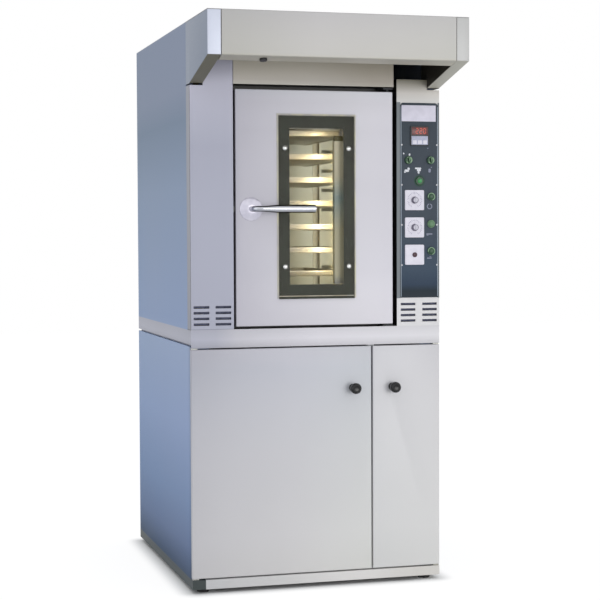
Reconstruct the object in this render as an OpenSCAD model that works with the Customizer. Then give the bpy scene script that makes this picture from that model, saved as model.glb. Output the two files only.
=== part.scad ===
// Rotating rack oven with a hood, standing on a two-door base cabinet.
// Sizes in millimetres, Z up, +X to the right as seen from the front, +Y to the back.
// The modules are drawn with y = 0 on the front plane of the doors;
// in_frame() then moves them so that the origin is under the middle of the whole oven.

/* [Case] */
// Width of the oven and its cabinet
case_w = 940; // [936:1:946]
// Depth from the front plane to the back panel
case_d = 1070; // [1066:1:1080]
// Height of the roof above the floor
case_h = 2045; // [2040:1:2060]
// Thickness of the outer steel sheet
sheet = 1.5; // [1.4:0.1:1.6]
// Depth of the front strip that is folded round the side
strip_d = 60; // [56:1:64]

/* [Base cabinet] */
// Height of the feet below the plinth
foot_h = 15; // [13:1:18]
// Height of the plinth
plinth_h = 34; // [32:1:36]
// Gap above and below the cabinet doors
cab_gap = 5; // [4.8:0.1:5.4]
// Thickness of a cabinet door
cab_door_t = 20; // [19:0.5:21]
// Place of the split between the two doors, from the middle
split_x = 207; // [200:1:214]
// Gap between the two doors
split_gap = 6; // [5:0.5:7]
// Height of the door knobs above the floor
cab_knob_z = 725; // [700:5:760]
// Place of the knob on the wide door
wide_knob_x = 133; // [120:1:150]
// Place of the knob on the narrow door
narrow_knob_x = 285; // [275:1:300]
// Diameter of a door knob
cab_knob_dia = 40; // [36:1:42]
// Reach of a door knob in front of its door
cab_knob_l = 50; // [44:1:56]

/* [Oven base band] */
// Lower edge of the front band
band_z0 = 882; // [880:1:884]
// Upper edge of the front band
band_z1 = 948; // [946:1:950]
// Lower edge of the band along the sides
side_band_z0 = 895; // [894:1:897]

/* [Oven door] */
// Left edge of the door
door_x0 = -304; // [-306:1:-303]
// Right edge of the door
door_x1 = 288; // [286:1:289]
// Lower edge of the door
door_z0 = 957; // [956:1:959]
// Upper edge of the door
door_z1 = 1806; // [1804:1:1807]
// Thickness of the door
door_t = 66; // [64:1:66]
// Depth of the outer pan of the door
pan_d = 40; // [38:1:42]
// Left side of the recess that the door stands in
recess_x0 = -313; // [-314:1:-312]
// Right side of the recess
recess_x1 = 304; // [303:1:305]
// Top of the recess
recess_z1 = 1824; // [1823:1:1826]
// Depth of the recess
recess_d = 78; // [78:1:79]
// Place of the hinge pin, from the middle
hinge_x = 271; // [270:1:272]
// Depth of the hinge pin behind the front plane
hinge_y = 12; // [12:0.5:13]
// Diameter of the hinge pin
hinge_pin_dia = 10; // [9:1:10]

/* [Door window] */
// Left edge of the outer glass
glass_x0 = -146; // [-150:1:-142]
// Right edge of the outer glass
glass_x1 = 139.5; // [137:0.5:143]
// Lower edge of the outer glass
glass_z0 = 1053; // [1050:1:1057]
// Upper edge of the outer glass
glass_z1 = 1714.5; // [1710:0.5:1720]
// Thickness of the outer glass
glass_t = 6; // [5:0.5:6]
// Gap between the outer glass and the door
glass_gap = 2; // [1.5:0.5:3]
// Width of the dark border at the left and right
border_w = 41; // [39:1:44]
// Height of the dark border at the top and bottom
border_h = 45; // [42:1:48]
// Distance of the two columns of bolts
glass_bolt_dx = 240; // [236:1:244]
// Distance of the two rows of bolts
glass_bolt_dz = 427; // [420:1:434]
// Height of the middle of the bolts
glass_bolt_z = 1383.5; // [1380:0.5:1387]

/* [Handle] */
// Place of the handle axis, from the middle
handle_x = -247.5; // [-250:0.5:-245]
// Height of the handle axis
handle_z = 1378; // [1370:1:1385]
// Diameter of the rose
rose_dia = 84; // [80:1:88]
// Height of the domed rose
rose_h = 14; // [12:1:16]
// Diameter of the lever tube
lever_dia = 29; // [28:0.5:30]
// Distance of the lever tube's axis from the door
lever_reach = 64; // [60:1:68]
// Length of the lever from its axis to its end
lever_l = 222; // [215:1:230]

/* [Hood] */
// Reach of the hood in front of the doors
hood_reach = 300; // [296:1:304]
// Lower edge of the fascia
fascia_z0 = 1891; // [1888:1:1894]
// Height of the hood's lower edge at the front plane
hood_back_z = 1822; // [1821:1:1824]
// Width of a side arm
arm_w = 48; // [46:1:50]
// Width of the rim under the fascia
rim_d = 54; // [50:1:58]
// Place of the switch, from the middle
switch_x = -269; // [-275:1:-262]
// Distance of the switch behind the fascia
switch_y = 30; // [28:1:32]
// Diameter of the switch
switch_dia = 26; // [24:1:28]

/* [Control panel] */
// Left edge of the panel
panel_x0 = 318; // [317:1:319]
// Width of the panel
panel_w = 146; // [145:1:147]
// Lower edge of the panel
panel_z0 = 1052; // [1051:1:1054]
// Upper edge of the panel
panel_z1 = 1768; // [1765:1:1770]
// Thickness of the panel
panel_t = 3; // [2.5:0.5:4]
// Side of the square temperature controller
controller_side = 72; // [70:1:74]
// Side of the square dial plates
dial_side = 74; // [72:1:76]
// Distance between two dial plates
dial_pitch = 100.5; // [99:0.5:102]
// Diameter of the timer knobs
timer_knob_dia = 26; // [22:1:28]
// Diameter of the round selectors and lamps
round_dia = 29; // [27:1:30]

/* [Chamber] */
// Place of the chamber's middle, from the middle of the oven
chamber_x = -25; // [-27:1:-24]
// Inner width and depth of the baking chamber
chamber_w = 760; // [758:1:764]
// Height of the chamber floor
chamber_z0 = 985; // [984:1:986]
// Height of the chamber ceiling
chamber_z1 = 1795; // [1793:1:1797]
// Thickness of the chamber's sheet
liner_t = 2; // [1.8:0.2:2.2]
// Thickness of the insulation
insulation_t = 50; // [48:1:50]
// Depth of the fan space behind the chamber
plenum_d = 80; // [78:1:82]

/* [Rack] */
// Width of a tray
tray_w = 400; // [398:1:400]
// Length of a tray
tray_l = 600; // [598:1:600]
// Height of a tray's rim
tray_h = 20; // [18:1:24]
// Number of trays
tray_n = 8; // [6:1:8]
// Distance between two trays
tray_pitch = 87; // [86:0.5:87.5]
// Height of the lowest tray
tray_z0 = 1043; // [1040:1:1046]
// Diameter of the drive shaft
shaft_dia = 35; // [34:1:36]

/* [Vapour outlet] */
// Outer diameter of the vapour pipe
pipe_dia = 150; // [148:1:150]
// Height of the outlet above the roof
pipe_up = 60; // [50:5:70]

/* [Hidden] */

$fn = 64;
hx = case_w / 2;
// Small overlap that makes a cut pass cleanly through a wall
cut = 1;
// Radial clearance of a running fit
fit = 0.05;
// Clearance between pieces that are pushed together
slack = 0.3;
// Clearance all round where a shaft passes a sheet, and between a tray and its rail
play = 3;
tray_play = 2;

// Middle of the whole oven in Y: the hood reaches forward, the gland to the back
gland_out = 25;
mid_y = (case_d + gland_out - hood_reach) / 2;

// Cabinet
plinth_z = foot_h + plinth_h;
seat_up = 5;
seat_z = band_z0 + seat_up;
cab_door_z0 = plinth_z + cab_gap;
cab_door_z1 = band_z0 - cab_gap;
carcass_gap = 4;
carcass_y = cab_door_t + carcass_gap;
corner_flange = 70;
fold = 25;
fold_small = 12;
inner_x = hx - sheet;
inner_back_y = case_d - 2 * sheet;
floor_z = plinth_z + 2 * sheet;
partition_t = 30;
foot_inset = 46;
foot_pad_dia = 44;
foot_stem_dia = 12;
cab_pin_dia = 6;
cab_pin_in = 8;
cab_pin_x = hx - cab_pin_in;
cab_pin_y = 13;

// Oven case
strip_seam = 0.5;
strip_y = strip_d + strip_seam;
side_lap = 2;
side_z0 = band_z1 - side_lap;
roof_z0 = case_h - sheet;
notch_gap = 6;
notch_z = hood_back_z - notch_gap;
column_top_z = 1853;
header_x1 = 292;
header_gap = 2;
louvre_w = 57;
louvre_h = 9;
louvre_pitch = 20.4;
louvre_rows = 4;
louvre_z = 967;

// Hood
rim_slope = (fascia_z0 - hood_back_z) / hood_reach;
rim_angle = atan(rim_slope);
arm_gap = 2;

// Door
skin_in = 8;
hinge_room = 9;
skin_x0 = door_x0 + skin_in;
skin_x1 = hinge_x - hinge_room;
skin_z0 = door_z0 + skin_in;
skin_z1 = door_z1 - skin_in;
border_lap = 3;
border_foot = 7;
view_x0 = glass_x0 + border_w - border_lap;
view_x1 = glass_x1 - border_w + border_lap;
view_z0 = glass_z0 + border_h + border_foot - border_lap;
view_z1 = glass_z1 - border_h + border_lap;
tunnel_gap = 6;
lamp_gap = 9;
tunnel_x0 = view_x0 - tunnel_gap;
tunnel_x1 = view_x1 + lamp_gap;
tunnel_z0 = view_z0 - tunnel_gap;
tunnel_z1 = view_z1 + tunnel_gap;
tunnel_y0 = 6;
bolt_hole_dia = 8.4;
lamp_w = 38;
lamp_y0 = 28;
lamp_y1 = 52;
lamp_z0 = 1104;
lamp_z1 = 1646;
inner_glass_t = 4;
inner_glass_lap = 8;
glass_bolt_x = (glass_x0 + glass_x1) / 2;
hinge_block = 26;
hinge_block_h = 28;
spindle_dia = 16;
cam_y0 = 26;
cam_y1 = 34;
cam_l = 63.5;
cam_slot_up = 48;
cam_slot_down = 12;

// Control panel
panel_x = panel_x0 + panel_w / 2;
panel_corner = 12;
controller_z = 1647;
selector_z = 1558;
selector_dx = 43;
pilot_z = 1482;
dial_x = 371;
dial_z = 1411;
side_lamp_x = 436.5;
side_lamp_up = 13;
instrument_d = 52;
bezel_t = 5;
round_body_dia = 22;
panel_play = 0.3;
instrument_w = controller_side - 4;
timer_shaft_dia = 6;
control_plate_y = 70;

// Chamber
chamber_hw = chamber_w / 2;
chamber_x0 = chamber_x - chamber_hw;
chamber_x1 = chamber_x + chamber_hw;
chamber_y0 = recess_d + liner_t;
baffle_y = chamber_y0 + chamber_w;
baffle_t = 2;
plenum_y1 = baffle_y + baffle_t + plenum_d;
rack_y = chamber_y0 + chamber_hw;
mouth_x0 = -270;
mouth_x1 = 250;
mouth_z0 = 1000;
mouth_z1 = 1775;
fan_z = (chamber_z0 + chamber_z1) / 2;
fan_dia = 340;
fan_d = 56;
fan_shaft_dia = 19;
fan_blades = 24;
motor_dia = 150;
motor_l = 124;
ring_r = 205;
ring_tube_r = 4.25;
ring_pitch = 20;

// Rack
rail_w = 18;
rail_t = 1.5;
rail_up = 10;
post_w = 25;
post_y = 200;
rack_head = 62;
rack_foot = 24;
rack_top_z = tray_z0 + (tray_n - 1) * tray_pitch + rack_head;
rack_bottom_z = tray_z0 - rack_foot;
hub_dia = 120;
hub_h = 10;
pivot_dia = 20;
bearing_dia = 70;
bearing_h = 26;
roof_space_z = chamber_z1 + liner_t + insulation_t;
gearbox_w = 130;
gearbox_h = 110;
gear_plate_w = 180;
gear_plate_t = 6;
gear_motor_dia = 110;
gear_motor_l = 200;
shaft_end = 8;
shaft_top_z = roof_space_z + gear_plate_t + gearbox_h + shaft_end;

// Vapour pipe
pipe_x = 190;
pipe_y = 720;
pipe_wall = 2;
collar_w = 22;

// Cable gland
gland_x = 350;
gland_z = 1010;
gland_dia = 34;
gland_bore = 18;
gland_shell_dia = gland_dia - 4;
gland_hole_dia = gland_dia - 8;

// Turns the drawing frame into the part's own frame
module in_frame() {
  translate([0, -mid_y, 0]) children();
}

// A block between two opposite corners
module block(a, b) {
  translate(a) cube(b - a);
}

// A cylinder along Y from y0 to y1
module bar_y(x, z, y0, y1, dia) {
  translate([x, y0, z]) rotate([-90, 0, 0]) cylinder(d = dia, h = y1 - y0);
}

// A cylinder along Z from z0 to z1
module bar_z(x, y, z0, z1, dia) {
  translate([x, y, z0]) cylinder(d = dia, h = z1 - z0);
}

// A mirrored copy on the right of what is drawn on the left
module right_hand() {
  mirror([1, 0, 0]) children();
}

// ---------- base cabinet ----------

// One side panel, drawn on the left: a sheet with folded edges
module cabinet_side() {
  color("lightsteelblue") {
    block([-hx, carcass_y, plinth_z], [-inner_x, case_d, seat_z]);
    block([-hx, carcass_y, plinth_z], [-hx + corner_flange, carcass_y + sheet, seat_z]);
    block([-hx, carcass_y, plinth_z], [-hx + fold, inner_back_y, plinth_z + sheet]);
    block([-hx, carcass_y, seat_z - sheet], [-hx + fold, inner_back_y, seat_z]);
    block([-hx, inner_back_y, plinth_z], [-hx + fold, inner_back_y + sheet, seat_z]);
  }
}

module cabinet_left_side() {
  in_frame() cabinet_side();
}

module cabinet_right_side() {
  in_frame() right_hand() cabinet_side();
}

// Back sheet with a row of air slots near the top
module cabinet_back() {
  slots = 7;
  slot_step = 110;
  slot_l = 60;
  slot_h = 8;
  slot_down = 80;
  in_frame() color("silver") difference() {
    block([-inner_x, case_d - sheet, plinth_z], [inner_x, case_d, seat_z]);
    for (i = [0 : slots - 1]) {
      x = (i - (slots - 1) / 2) * slot_step;
      block([x - slot_l / 2, case_d - sheet - cut, seat_z - slot_down],
            [x + slot_l / 2, case_d + cut, seat_z - slot_down + slot_h]);
    }
  }
}

// Floor sheet with a folded lip under its front edge
module cabinet_floor() {
  in_frame() color("gainsboro") {
    block([-inner_x, carcass_y + sheet, plinth_z + sheet], [inner_x, inner_back_y, floor_z]);
    block([-hx + corner_flange, carcass_y, plinth_z], [hx - corner_flange, carcass_y + sheet, floor_z]);
  }
}

// Wall between the two compartments, folded from one sheet and open at the back
module cabinet_partition() {
  x0 = split_x - partition_t / 2;
  x1 = split_x + partition_t / 2;
  in_frame() color("gainsboro") difference() {
    block([x0, carcass_y, floor_z], [x1, inner_back_y, seat_z]);
    block([x0 + sheet, carcass_y + sheet, floor_z + sheet],
          [x1 - sheet, inner_back_y + cut, seat_z - sheet]);
  }
}

// Frame under the cabinet, with corner plates that carry the feet
module cabinet_plinth() {
  plate = 90;
  in_frame() color("silver") difference() {
    union() {
      difference() {
        block([-hx, 0, foot_h], [hx, case_d, plinth_z]);
        block([-inner_x, sheet, foot_h - cut], [inner_x, case_d - sheet, plinth_z + cut]);
      }
      difference() {
        block([-hx, 0, plinth_z - sheet], [hx, case_d, plinth_z]);
        block([-hx + plate / 2, plate / 2, plinth_z - sheet - cut],
              [hx - plate / 2, case_d - plate / 2, plinth_z + cut]);
      }
      for (sx = [-1, 1], y = [0, case_d - plate]) {
        translate([sx * (hx - plate / 2) - plate / 2, y, foot_h]) cube([plate, plate, 2 * sheet]);
      }
    }
    feet_places() bar_z(0, 0, foot_h - cut, foot_h + 2 * sheet + cut, foot_stem_dia + 2 * fit);
  }
}

// The four places of the feet
module feet_places() {
  for (sx = [-1, 1], y = [foot_inset, case_d - foot_inset]) {
    translate([sx * (hx - foot_inset), y, 0]) children();
  }
}

// Four screw feet: pad, stem and the nut that carries the corner plate
module levelling_feet() {
  pad_h = 7;
  nut_w = 20;
  in_frame() color("dimgray") feet_places() {
    bar_z(0, 0, 0, pad_h, foot_pad_dia);
    bar_z(0, 0, pad_h, foot_h + plinth_h / 2, foot_stem_dia);
    translate([0, 0, pad_h]) cylinder(d = nut_w, h = foot_h - pad_h, $fn = 6);
  }
}

// One bracket with its pin: the plate lies in the gap above or below a door
module cabinet_hinge(z, up) {
  plate_t = 3;
  plate_w = 24;
  pin_l = 14;
  plate_x = 1;
  plate_y = 4;
  z_plate = z + (up ? (cab_gap - plate_t) / 2 : -(cab_gap + plate_t) / 2);
  z_pin = up ? z_plate - pin_l : z_plate;
  block([-hx + plate_x, plate_y, z_plate], [-hx + plate_w, carcass_y, z_plate + plate_t]);
  bar_z(-cab_pin_x, cab_pin_y, z_pin, z_pin + pin_l + plate_t, cab_pin_dia);
}

// Four hinge brackets, two for each door
module cabinet_hinges() {
  in_frame() color("darkgray") for (m = [0, 1]) {
    mirror([m, 0, 0]) {
      cabinet_hinge(cab_door_z1, true);
      cabinet_hinge(cab_door_z0, false);
    }
  }
}

// Two magnets on the front edge of the partition
module magnetic_catches() {
  magnet_h = 60;
  magnet_w = 9;
  magnet_gap = 0.6;
  edge_gap = 1;
  lip_reach = split_gap / 2 + edge_gap;
  in_frame() color("black") for (x = [split_x - lip_reach - magnet_w, split_x + lip_reach]) {
    block([x, cab_door_t + magnet_gap, cab_knob_z - magnet_h / 2],
          [x + magnet_w, carcass_y, cab_knob_z + magnet_h / 2]);
  }
}

// A cabinet door from x0 to x1: a pan with return lips, knob hole and pin holes
module cabinet_door(x0, x1, knob_x, pin_x) {
  knob_hole = 8;
  block_w = 16;
  block_h = 18;
  color("silver") difference() {
    union() {
      difference() {
        block([x0, 0, cab_door_z0], [x1, cab_door_t, cab_door_z1]);
        block([x0 + sheet, sheet, cab_door_z0 + sheet],
              [x1 - sheet, cab_door_t - sheet, cab_door_z1 - sheet]);
        block([x0 + fold_small, sheet, cab_door_z0 + fold_small],
              [x1 - fold_small, cab_door_t + cut, cab_door_z1 - fold_small]);
      }
      for (z = [cab_door_z0, cab_door_z1 - block_h]) {
        block([pin_x - block_w / 2, sheet, z], [pin_x + block_w / 2, cab_door_t, z + block_h]);
      }
    }
    bar_z(pin_x, cab_pin_y, cab_door_z0 - cut, cab_door_z1 + cut, cab_pin_dia + 2 * fit);
    bar_y(knob_x, cab_knob_z, -cut, sheet + cut, knob_hole);
  }
}

module wide_cabinet_door() {
  in_frame() cabinet_door(-hx, split_x - split_gap / 2, wide_knob_x, -cab_pin_x);
}

module narrow_cabinet_door() {
  in_frame() cabinet_door(split_x + split_gap / 2, hx, narrow_knob_x, cab_pin_x);
}

// A turned black knob on a neck, with its fixing screw behind the door sheet
module cabinet_knob(x) {
  base_dia = 30;
  neck_dia = 22;
  screw_dia = 7.8;
  base_h = 5;
  base_taper = 3;
  head_h = 26;
  head_taper = 5;
  dome_h = 6;
  nut_dia = 16;
  nut_h = 6;
  color([0.08, 0.08, 0.08]) translate([x, 0, cab_knob_z]) rotate([90, 0, 0]) {
    rotate_extrude() polygon([
      [0, 0], [base_dia / 2, 0], [base_dia / 2, base_h], [neck_dia / 2, base_h + base_taper],
      [neck_dia / 2, cab_knob_l - head_h], [cab_knob_dia / 2, cab_knob_l - head_h + head_taper],
      [cab_knob_dia / 2, cab_knob_l - dome_h], [cab_knob_dia / 3, cab_knob_l], [0, cab_knob_l]
    ]);
    translate([0, 0, -sheet]) cylinder(d = screw_dia, h = sheet);
    translate([0, 0, -sheet - nut_h]) cylinder(d = nut_dia, h = nut_h);
  }
}

module wide_door_knob() {
  in_frame() cabinet_knob(wide_knob_x);
}

module narrow_door_knob() {
  in_frame() cabinet_knob(narrow_knob_x);
}

// ---------- oven case ----------

// Base of the oven: front band, side and rear bands, base plate and the web that carries it
module oven_base_frame() {
  web_x = hx - fold_small;
  web_y = 20;
  plate_z1 = seat_z + 2;
  in_frame() color("silver") {
    block([-hx, 0, band_z0], [hx, sheet, band_z1]);
    block([-hx, 0, band_z1 - sheet], [hx, strip_d, band_z1]);
    block([recess_x0 - fold, 0, band_z1 - sheet], [recess_x1 + fold, recess_d, band_z1]);
    block([-hx, 0, band_z0], [hx, web_y + sheet, band_z0 + sheet]);
    block([-web_x, web_y, band_z0], [web_x, web_y + sheet, plate_z1]);
    block([-web_x, web_y, seat_z], [web_x, case_d - fold_small, plate_z1]);
    for (m = [0, 1]) {
      mirror([m, 0, 0]) {
        block([-hx, 0, side_band_z0], [-inner_x, case_d, side_z0]);
        block([-hx, 0, side_z0 - sheet], [-hx + fold, case_d, side_z0]);
        block([-hx, 0, side_band_z0], [-web_x + sheet, case_d, side_band_z0 + sheet]);
        block([-web_x, web_y, seat_z], [-web_x + sheet, case_d, side_band_z0 + sheet]);
      }
    }
    block([-hx, case_d - sheet, side_band_z0], [hx, case_d, side_z0]);
    block([-hx, case_d - fold, side_z0 - sheet], [hx, case_d, side_z0]);
    block([-web_x, case_d - fold_small - sheet, seat_z], [web_x, case_d - fold_small, side_band_z0 + sheet]);
    block([-web_x, case_d - fold_small - sheet, side_band_z0], [web_x, case_d, side_band_z0 + sheet]);
  }
}

// Side panel of the oven, drawn on the left
module oven_side() {
  color("lightsteelblue") {
    block([-hx, strip_y, side_z0], [-inner_x, case_d, roof_z0]);
    block([-hx, strip_y, side_z0], [-hx + fold, strip_y + sheet, roof_z0]);
    block([-hx, inner_back_y, side_z0], [-hx + fold, inner_back_y + sheet, roof_z0]);
    block([-hx, strip_y, roof_z0 - sheet], [-hx + fold, inner_back_y, roof_z0]);
  }
}

module oven_left_side() {
  in_frame() oven_side();
}

module oven_right_side() {
  in_frame() right_hand() oven_side();
}

// Back panel with two fields of air slots and the hole for the cable gland
module oven_back() {
  cols = 4;
  rows = 6;
  slot_l = 70;
  slot_h = 7;
  col_step = 105;
  row_step = 21;
  low_field = side_z0 + 180;
  high_field = roof_z0 - 160;
  in_frame() color("silver") difference() {
    block([-inner_x, case_d - sheet, side_z0], [inner_x, case_d, roof_z0]);
    for (z0 = [low_field, high_field], c = [0 : cols - 1], r = [0 : rows - 1]) {
      x = (c - (cols - 1) / 2) * col_step;
      z = z0 + r * row_step;
      block([x - slot_l / 2, case_d - sheet - cut, z], [x + slot_l / 2, case_d + cut, z + slot_h]);
    }
    bar_y(gland_x, gland_z, case_d - sheet - cut, case_d + cut, gland_hole_dia);
  }
}

// Roof sheet with the hole for the vapour pipe
module oven_roof() {
  in_frame() color("silver") difference() {
    block([-hx, strip_y, roof_z0], [hx, case_d, case_h]);
    bar_z(pipe_x, pipe_y, roof_z0 - cut, case_h + cut, pipe_dia + 2 * slack);
  }
}

// Rows of air slots in two columns, from x0 to x1
module louvres(x0, x1) {
  for (x = [x0, x1 - louvre_w], r = [0 : louvre_rows - 1]) {
    block([x, -cut, louvre_z + r * louvre_pitch - louvre_h / 2],
          [x + louvre_w, sheet + cut, louvre_z + r * louvre_pitch + louvre_h / 2]);
  }
}

// The cut in a column's outer top corner that lets the hood arm through
module arm_notch() {
  block([-hx - cut, -cut, notch_z], [-hx + arm_w, sheet + cut, case_h]);
}

// Left column: front, side strip and the inner side of the door recess
module left_column() {
  margin = 10;
  in_frame() color("silver") difference() {
    union() {
      block([-hx, 0, band_z1], [recess_x0, sheet, roof_z0]);
      block([-hx, 0, band_z1], [-inner_x, strip_d, notch_z]);
      block([-hx, strip_d - sheet, band_z1], [-hx + fold, strip_d, notch_z]);
      block([recess_x0 - sheet, 0, band_z1], [recess_x0, recess_d, roof_z0]);
    }
    arm_notch();
    louvres(-hx + margin, recess_x0 - margin);
  }
}

// Panel over the oven door, folded back above the door
module header_panel() {
  x0 = recess_x0 + header_gap;
  in_frame() color("tan") {
    block([x0, 0, recess_z1], [header_x1, sheet, roof_z0]);
    block([x0, 0, recess_z1], [header_x1, recess_d, recess_z1 + sheet]);
    block([header_x1 - sheet, 0, recess_z1], [header_x1, recess_d, roof_z0]);
    block([x0, recess_d - sheet, recess_z1], [header_x1, recess_d, roof_z0]);
  }
}

// Right column: front with the opening behind the control panel, side strip,
// side of the door recess, and the plate that closes the control box at the back
module right_column() {
  margin_in = 15;
  margin_out = 10;
  opening = 8;
  in_frame() color("silver") difference() {
    union() {
      block([recess_x1, 0, band_z1], [hx, sheet, column_top_z]);
      block([inner_x, 0, band_z1], [hx, strip_d, notch_z]);
      block([hx - fold, strip_d - sheet, band_z1], [hx, strip_d, notch_z]);
      block([recess_x1, 0, band_z1], [recess_x1 + sheet, recess_d, column_top_z]);
      block([recess_x1, control_plate_y, band_z1], [hx - fold, control_plate_y + sheet, column_top_z]);
    }
    right_hand() arm_notch();
    louvres(recess_x1 + margin_in, hx - margin_out);
    block([panel_x0 + opening, -cut, panel_z0 + opening],
          [panel_x0 + panel_w - opening, sheet + cut, panel_z1 - opening]);
  }
}

// Cable gland in the back panel, with the bore that the supply cable would pass
module cable_gland() {
  nut_w = 40;
  nut_h = 8;
  lock_nut_h = 6;
  thread_l = 16;
  in_frame() color("black") difference() {
    union() {
      bar_y(gland_x, gland_z, case_d, case_d + gland_out, gland_shell_dia);
      bar_y(gland_x, gland_z, case_d - thread_l, case_d, gland_hole_dia - slack);
      translate([gland_x, case_d + nut_h, gland_z]) rotate([90, 0, 0])
        cylinder(d = nut_w, h = nut_h, $fn = 6);
      translate([gland_x, case_d - sheet, gland_z]) rotate([90, 0, 0])
        cylinder(d = nut_w, h = lock_nut_h, $fn = 6);
    }
    bar_y(gland_x, gland_z, case_d - thread_l - cut, case_d + gland_out + cut, gland_bore);
  }
}

// ---------- baking chamber ----------

// Chamber made of three sheets: the front plate with the mouth, which is the back of the
// door recess, the shell of floor, sides and back, and the ceiling that lies on the shell
module chamber_liner() {
  in_frame() color("gainsboro") {
    chamber_front();
    chamber_shell();
    chamber_ceiling();
  }
}

module chamber_front() {
  difference() {
    block([chamber_x0 - liner_t, recess_d, band_z1 - sheet], [chamber_x1 + liner_t, chamber_y0, recess_z1]);
    block([mouth_x0, recess_d - cut, mouth_z0], [mouth_x1, chamber_y0 + cut, mouth_z1]);
  }
}

module chamber_shell() {
  difference() {
    block([chamber_x0 - liner_t, chamber_y0 + slack, chamber_z0 - liner_t],
          [chamber_x1 + liner_t, plenum_y1 + liner_t, chamber_z1 - slack]);
    block([chamber_x0, chamber_y0, chamber_z0], [chamber_x1, plenum_y1, chamber_z1]);
    bar_y(chamber_x, fan_z, plenum_y1 - cut, plenum_y1 + liner_t + cut, fan_shaft_dia + 2 * play);
  }
}

module chamber_ceiling() {
  difference() {
    block([chamber_x0 - liner_t, chamber_y0 + slack, chamber_z1],
          [chamber_x1 + liner_t, plenum_y1 + liner_t, chamber_z1 + liner_t]);
    bar_z(chamber_x, rack_y, chamber_z1 - cut, chamber_z1 + liner_t + cut, shaft_dia + 2 * play);
    bar_z(pipe_x, pipe_y, chamber_z1 - cut, chamber_z1 + liner_t + cut, pipe_dia - 2 * pipe_wall);
  }
}

// Five slabs of mineral wool round the chamber
module insulation() {
  front_gap = 1;
  floor_gap = 18;
  pipe_play = 1;
  motor_play = 4;
  x0 = chamber_x0 - liner_t;
  x1 = chamber_x1 + liner_t;
  y0 = chamber_y0 + front_gap;
  y1 = plenum_y1 + liner_t;
  z0 = chamber_z0 - liner_t;
  z1 = chamber_z1 + liner_t;
  in_frame() color("khaki") {
    block([x0 - insulation_t, y0, z0], [x0, y1, z1]);
    block([x1, y0, z0], [x1 + insulation_t, y1, z1]);
    block([x0, y0, z0 - insulation_t + floor_gap], [x1, y1, z0]);
    difference() {
      block([x0, y0, z1], [x1, y1, z1 + insulation_t]);
      bar_z(chamber_x, rack_y, z1 - cut, z1 + insulation_t + cut, shaft_dia + 2 * play);
      bar_z(pipe_x, pipe_y, z1 - cut, z1 + insulation_t + cut, pipe_dia + 2 * pipe_play);
    }
    difference() {
      block([x0, y1, z0], [x1, y1 + insulation_t, z1]);
      bar_y(chamber_x, fan_z, y1 - cut, y1 + insulation_t + cut, motor_dia + 2 * motor_play);
    }
  }
}

// Seal on the front plate, round the chamber mouth
module door_gasket() {
  seal_w = 14;
  seal_in = 6;
  x1 = skin_x1 - seal_in + seal_w / 2;
  in_frame() color([0.1, 0.1, 0.1]) difference() {
    block([skin_x0 + seal_in, door_t + slack, skin_z0 + seal_in], [x1, recess_d, skin_z1 - seal_in]);
    block([skin_x0 + seal_in + seal_w, door_t, skin_z0 + seal_in + seal_w],
          [x1 - seal_w, recess_d + cut, skin_z1 - seal_in - seal_w]);
  }
}

// Sheet between the chamber and the fan, with the suction hole and the air slots
module air_baffle() {
  intake = 300;
  slot_n = 9;
  slot_w = 60;
  slot_h = 14;
  slot_step = 80;
  in_frame() color("gainsboro") difference() {
    block([chamber_x0, baffle_y, chamber_z0], [chamber_x1, baffle_y + baffle_t, chamber_z1]);
    bar_y(chamber_x, fan_z, baffle_y - cut, baffle_y + baffle_t + cut, intake);
    for (sx = [-1, 1], i = [0 : slot_n - 1]) {
      x = chamber_x + sx * (chamber_hw - slot_w);
      z = fan_z + (i - (slot_n - 1) / 2) * slot_step;
      block([x - slot_w / 2, baffle_y - cut, z - slot_h / 2],
            [x + slot_w / 2, baffle_y + baffle_t + cut, z + slot_h / 2]);
    }
  }
}

// Three ring heaters round the fan, each held by two sleeves fixed in the back wall
module heating_elements() {
  end_gap = 14;
  sleeve_dia = 12;
  rings = 3;
  back_gap = 18;
  ring_step = 2;
  first_angle = 200;
  angle_step = 25;
  in_frame() color("dimgray") for (i = [0 : rings - 1]) {
    y = plenum_y1 - back_gap - i * ring_pitch;
    r = ring_r + i * ring_step;
    a = first_angle + i * angle_step;
    translate([chamber_x, y, fan_z]) rotate([90, 0, 0]) {
      rotate_extrude() translate([r, 0]) circle(r = ring_tube_r, $fn = 24);
    }
    for (s = [-1, 1]) {
      bar_y(chamber_x + r * cos(a + s * end_gap / 2), fan_z + r * sin(a + s * end_gap / 2),
            y - sleeve_dia / 2, plenum_y1, sleeve_dia);
    }
  }
}

// Radial fan wheel on its motor shaft
module fan_wheel() {
  disc_t = 2;
  blade_l = 55;
  blade_in = 2;
  weld = 1;
  back_gap = 10;
  boss_dia = 50;
  boss_in = 20;
  tail = 60;
  y1 = plenum_y1 - back_gap;
  y0 = y1 - fan_d;
  ring_w = 30;
  in_frame() color("silver") difference() {
    union() {
      bar_y(chamber_x, fan_z, y1 - disc_t, y1, fan_dia);
      difference() {
        bar_y(chamber_x, fan_z, y0, y0 + disc_t, fan_dia);
        bar_y(chamber_x, fan_z, y0 - cut, y0 + disc_t + cut, fan_dia - 2 * ring_w);
      }
      for (i = [0 : fan_blades - 1]) {
        translate([chamber_x, 0, fan_z]) rotate([0, i * 360 / fan_blades, 0])
          block([fan_dia / 2 - blade_l, y0 + weld, -disc_t / 2],
                [fan_dia / 2 - blade_in, y1 - weld, disc_t / 2]);
      }
      bar_y(chamber_x, fan_z, y0 + boss_in, y1, boss_dia);
      bar_y(chamber_x, fan_z, y1 - weld, plenum_y1 + liner_t + tail, fan_shaft_dia);
    }
  }
}

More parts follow.
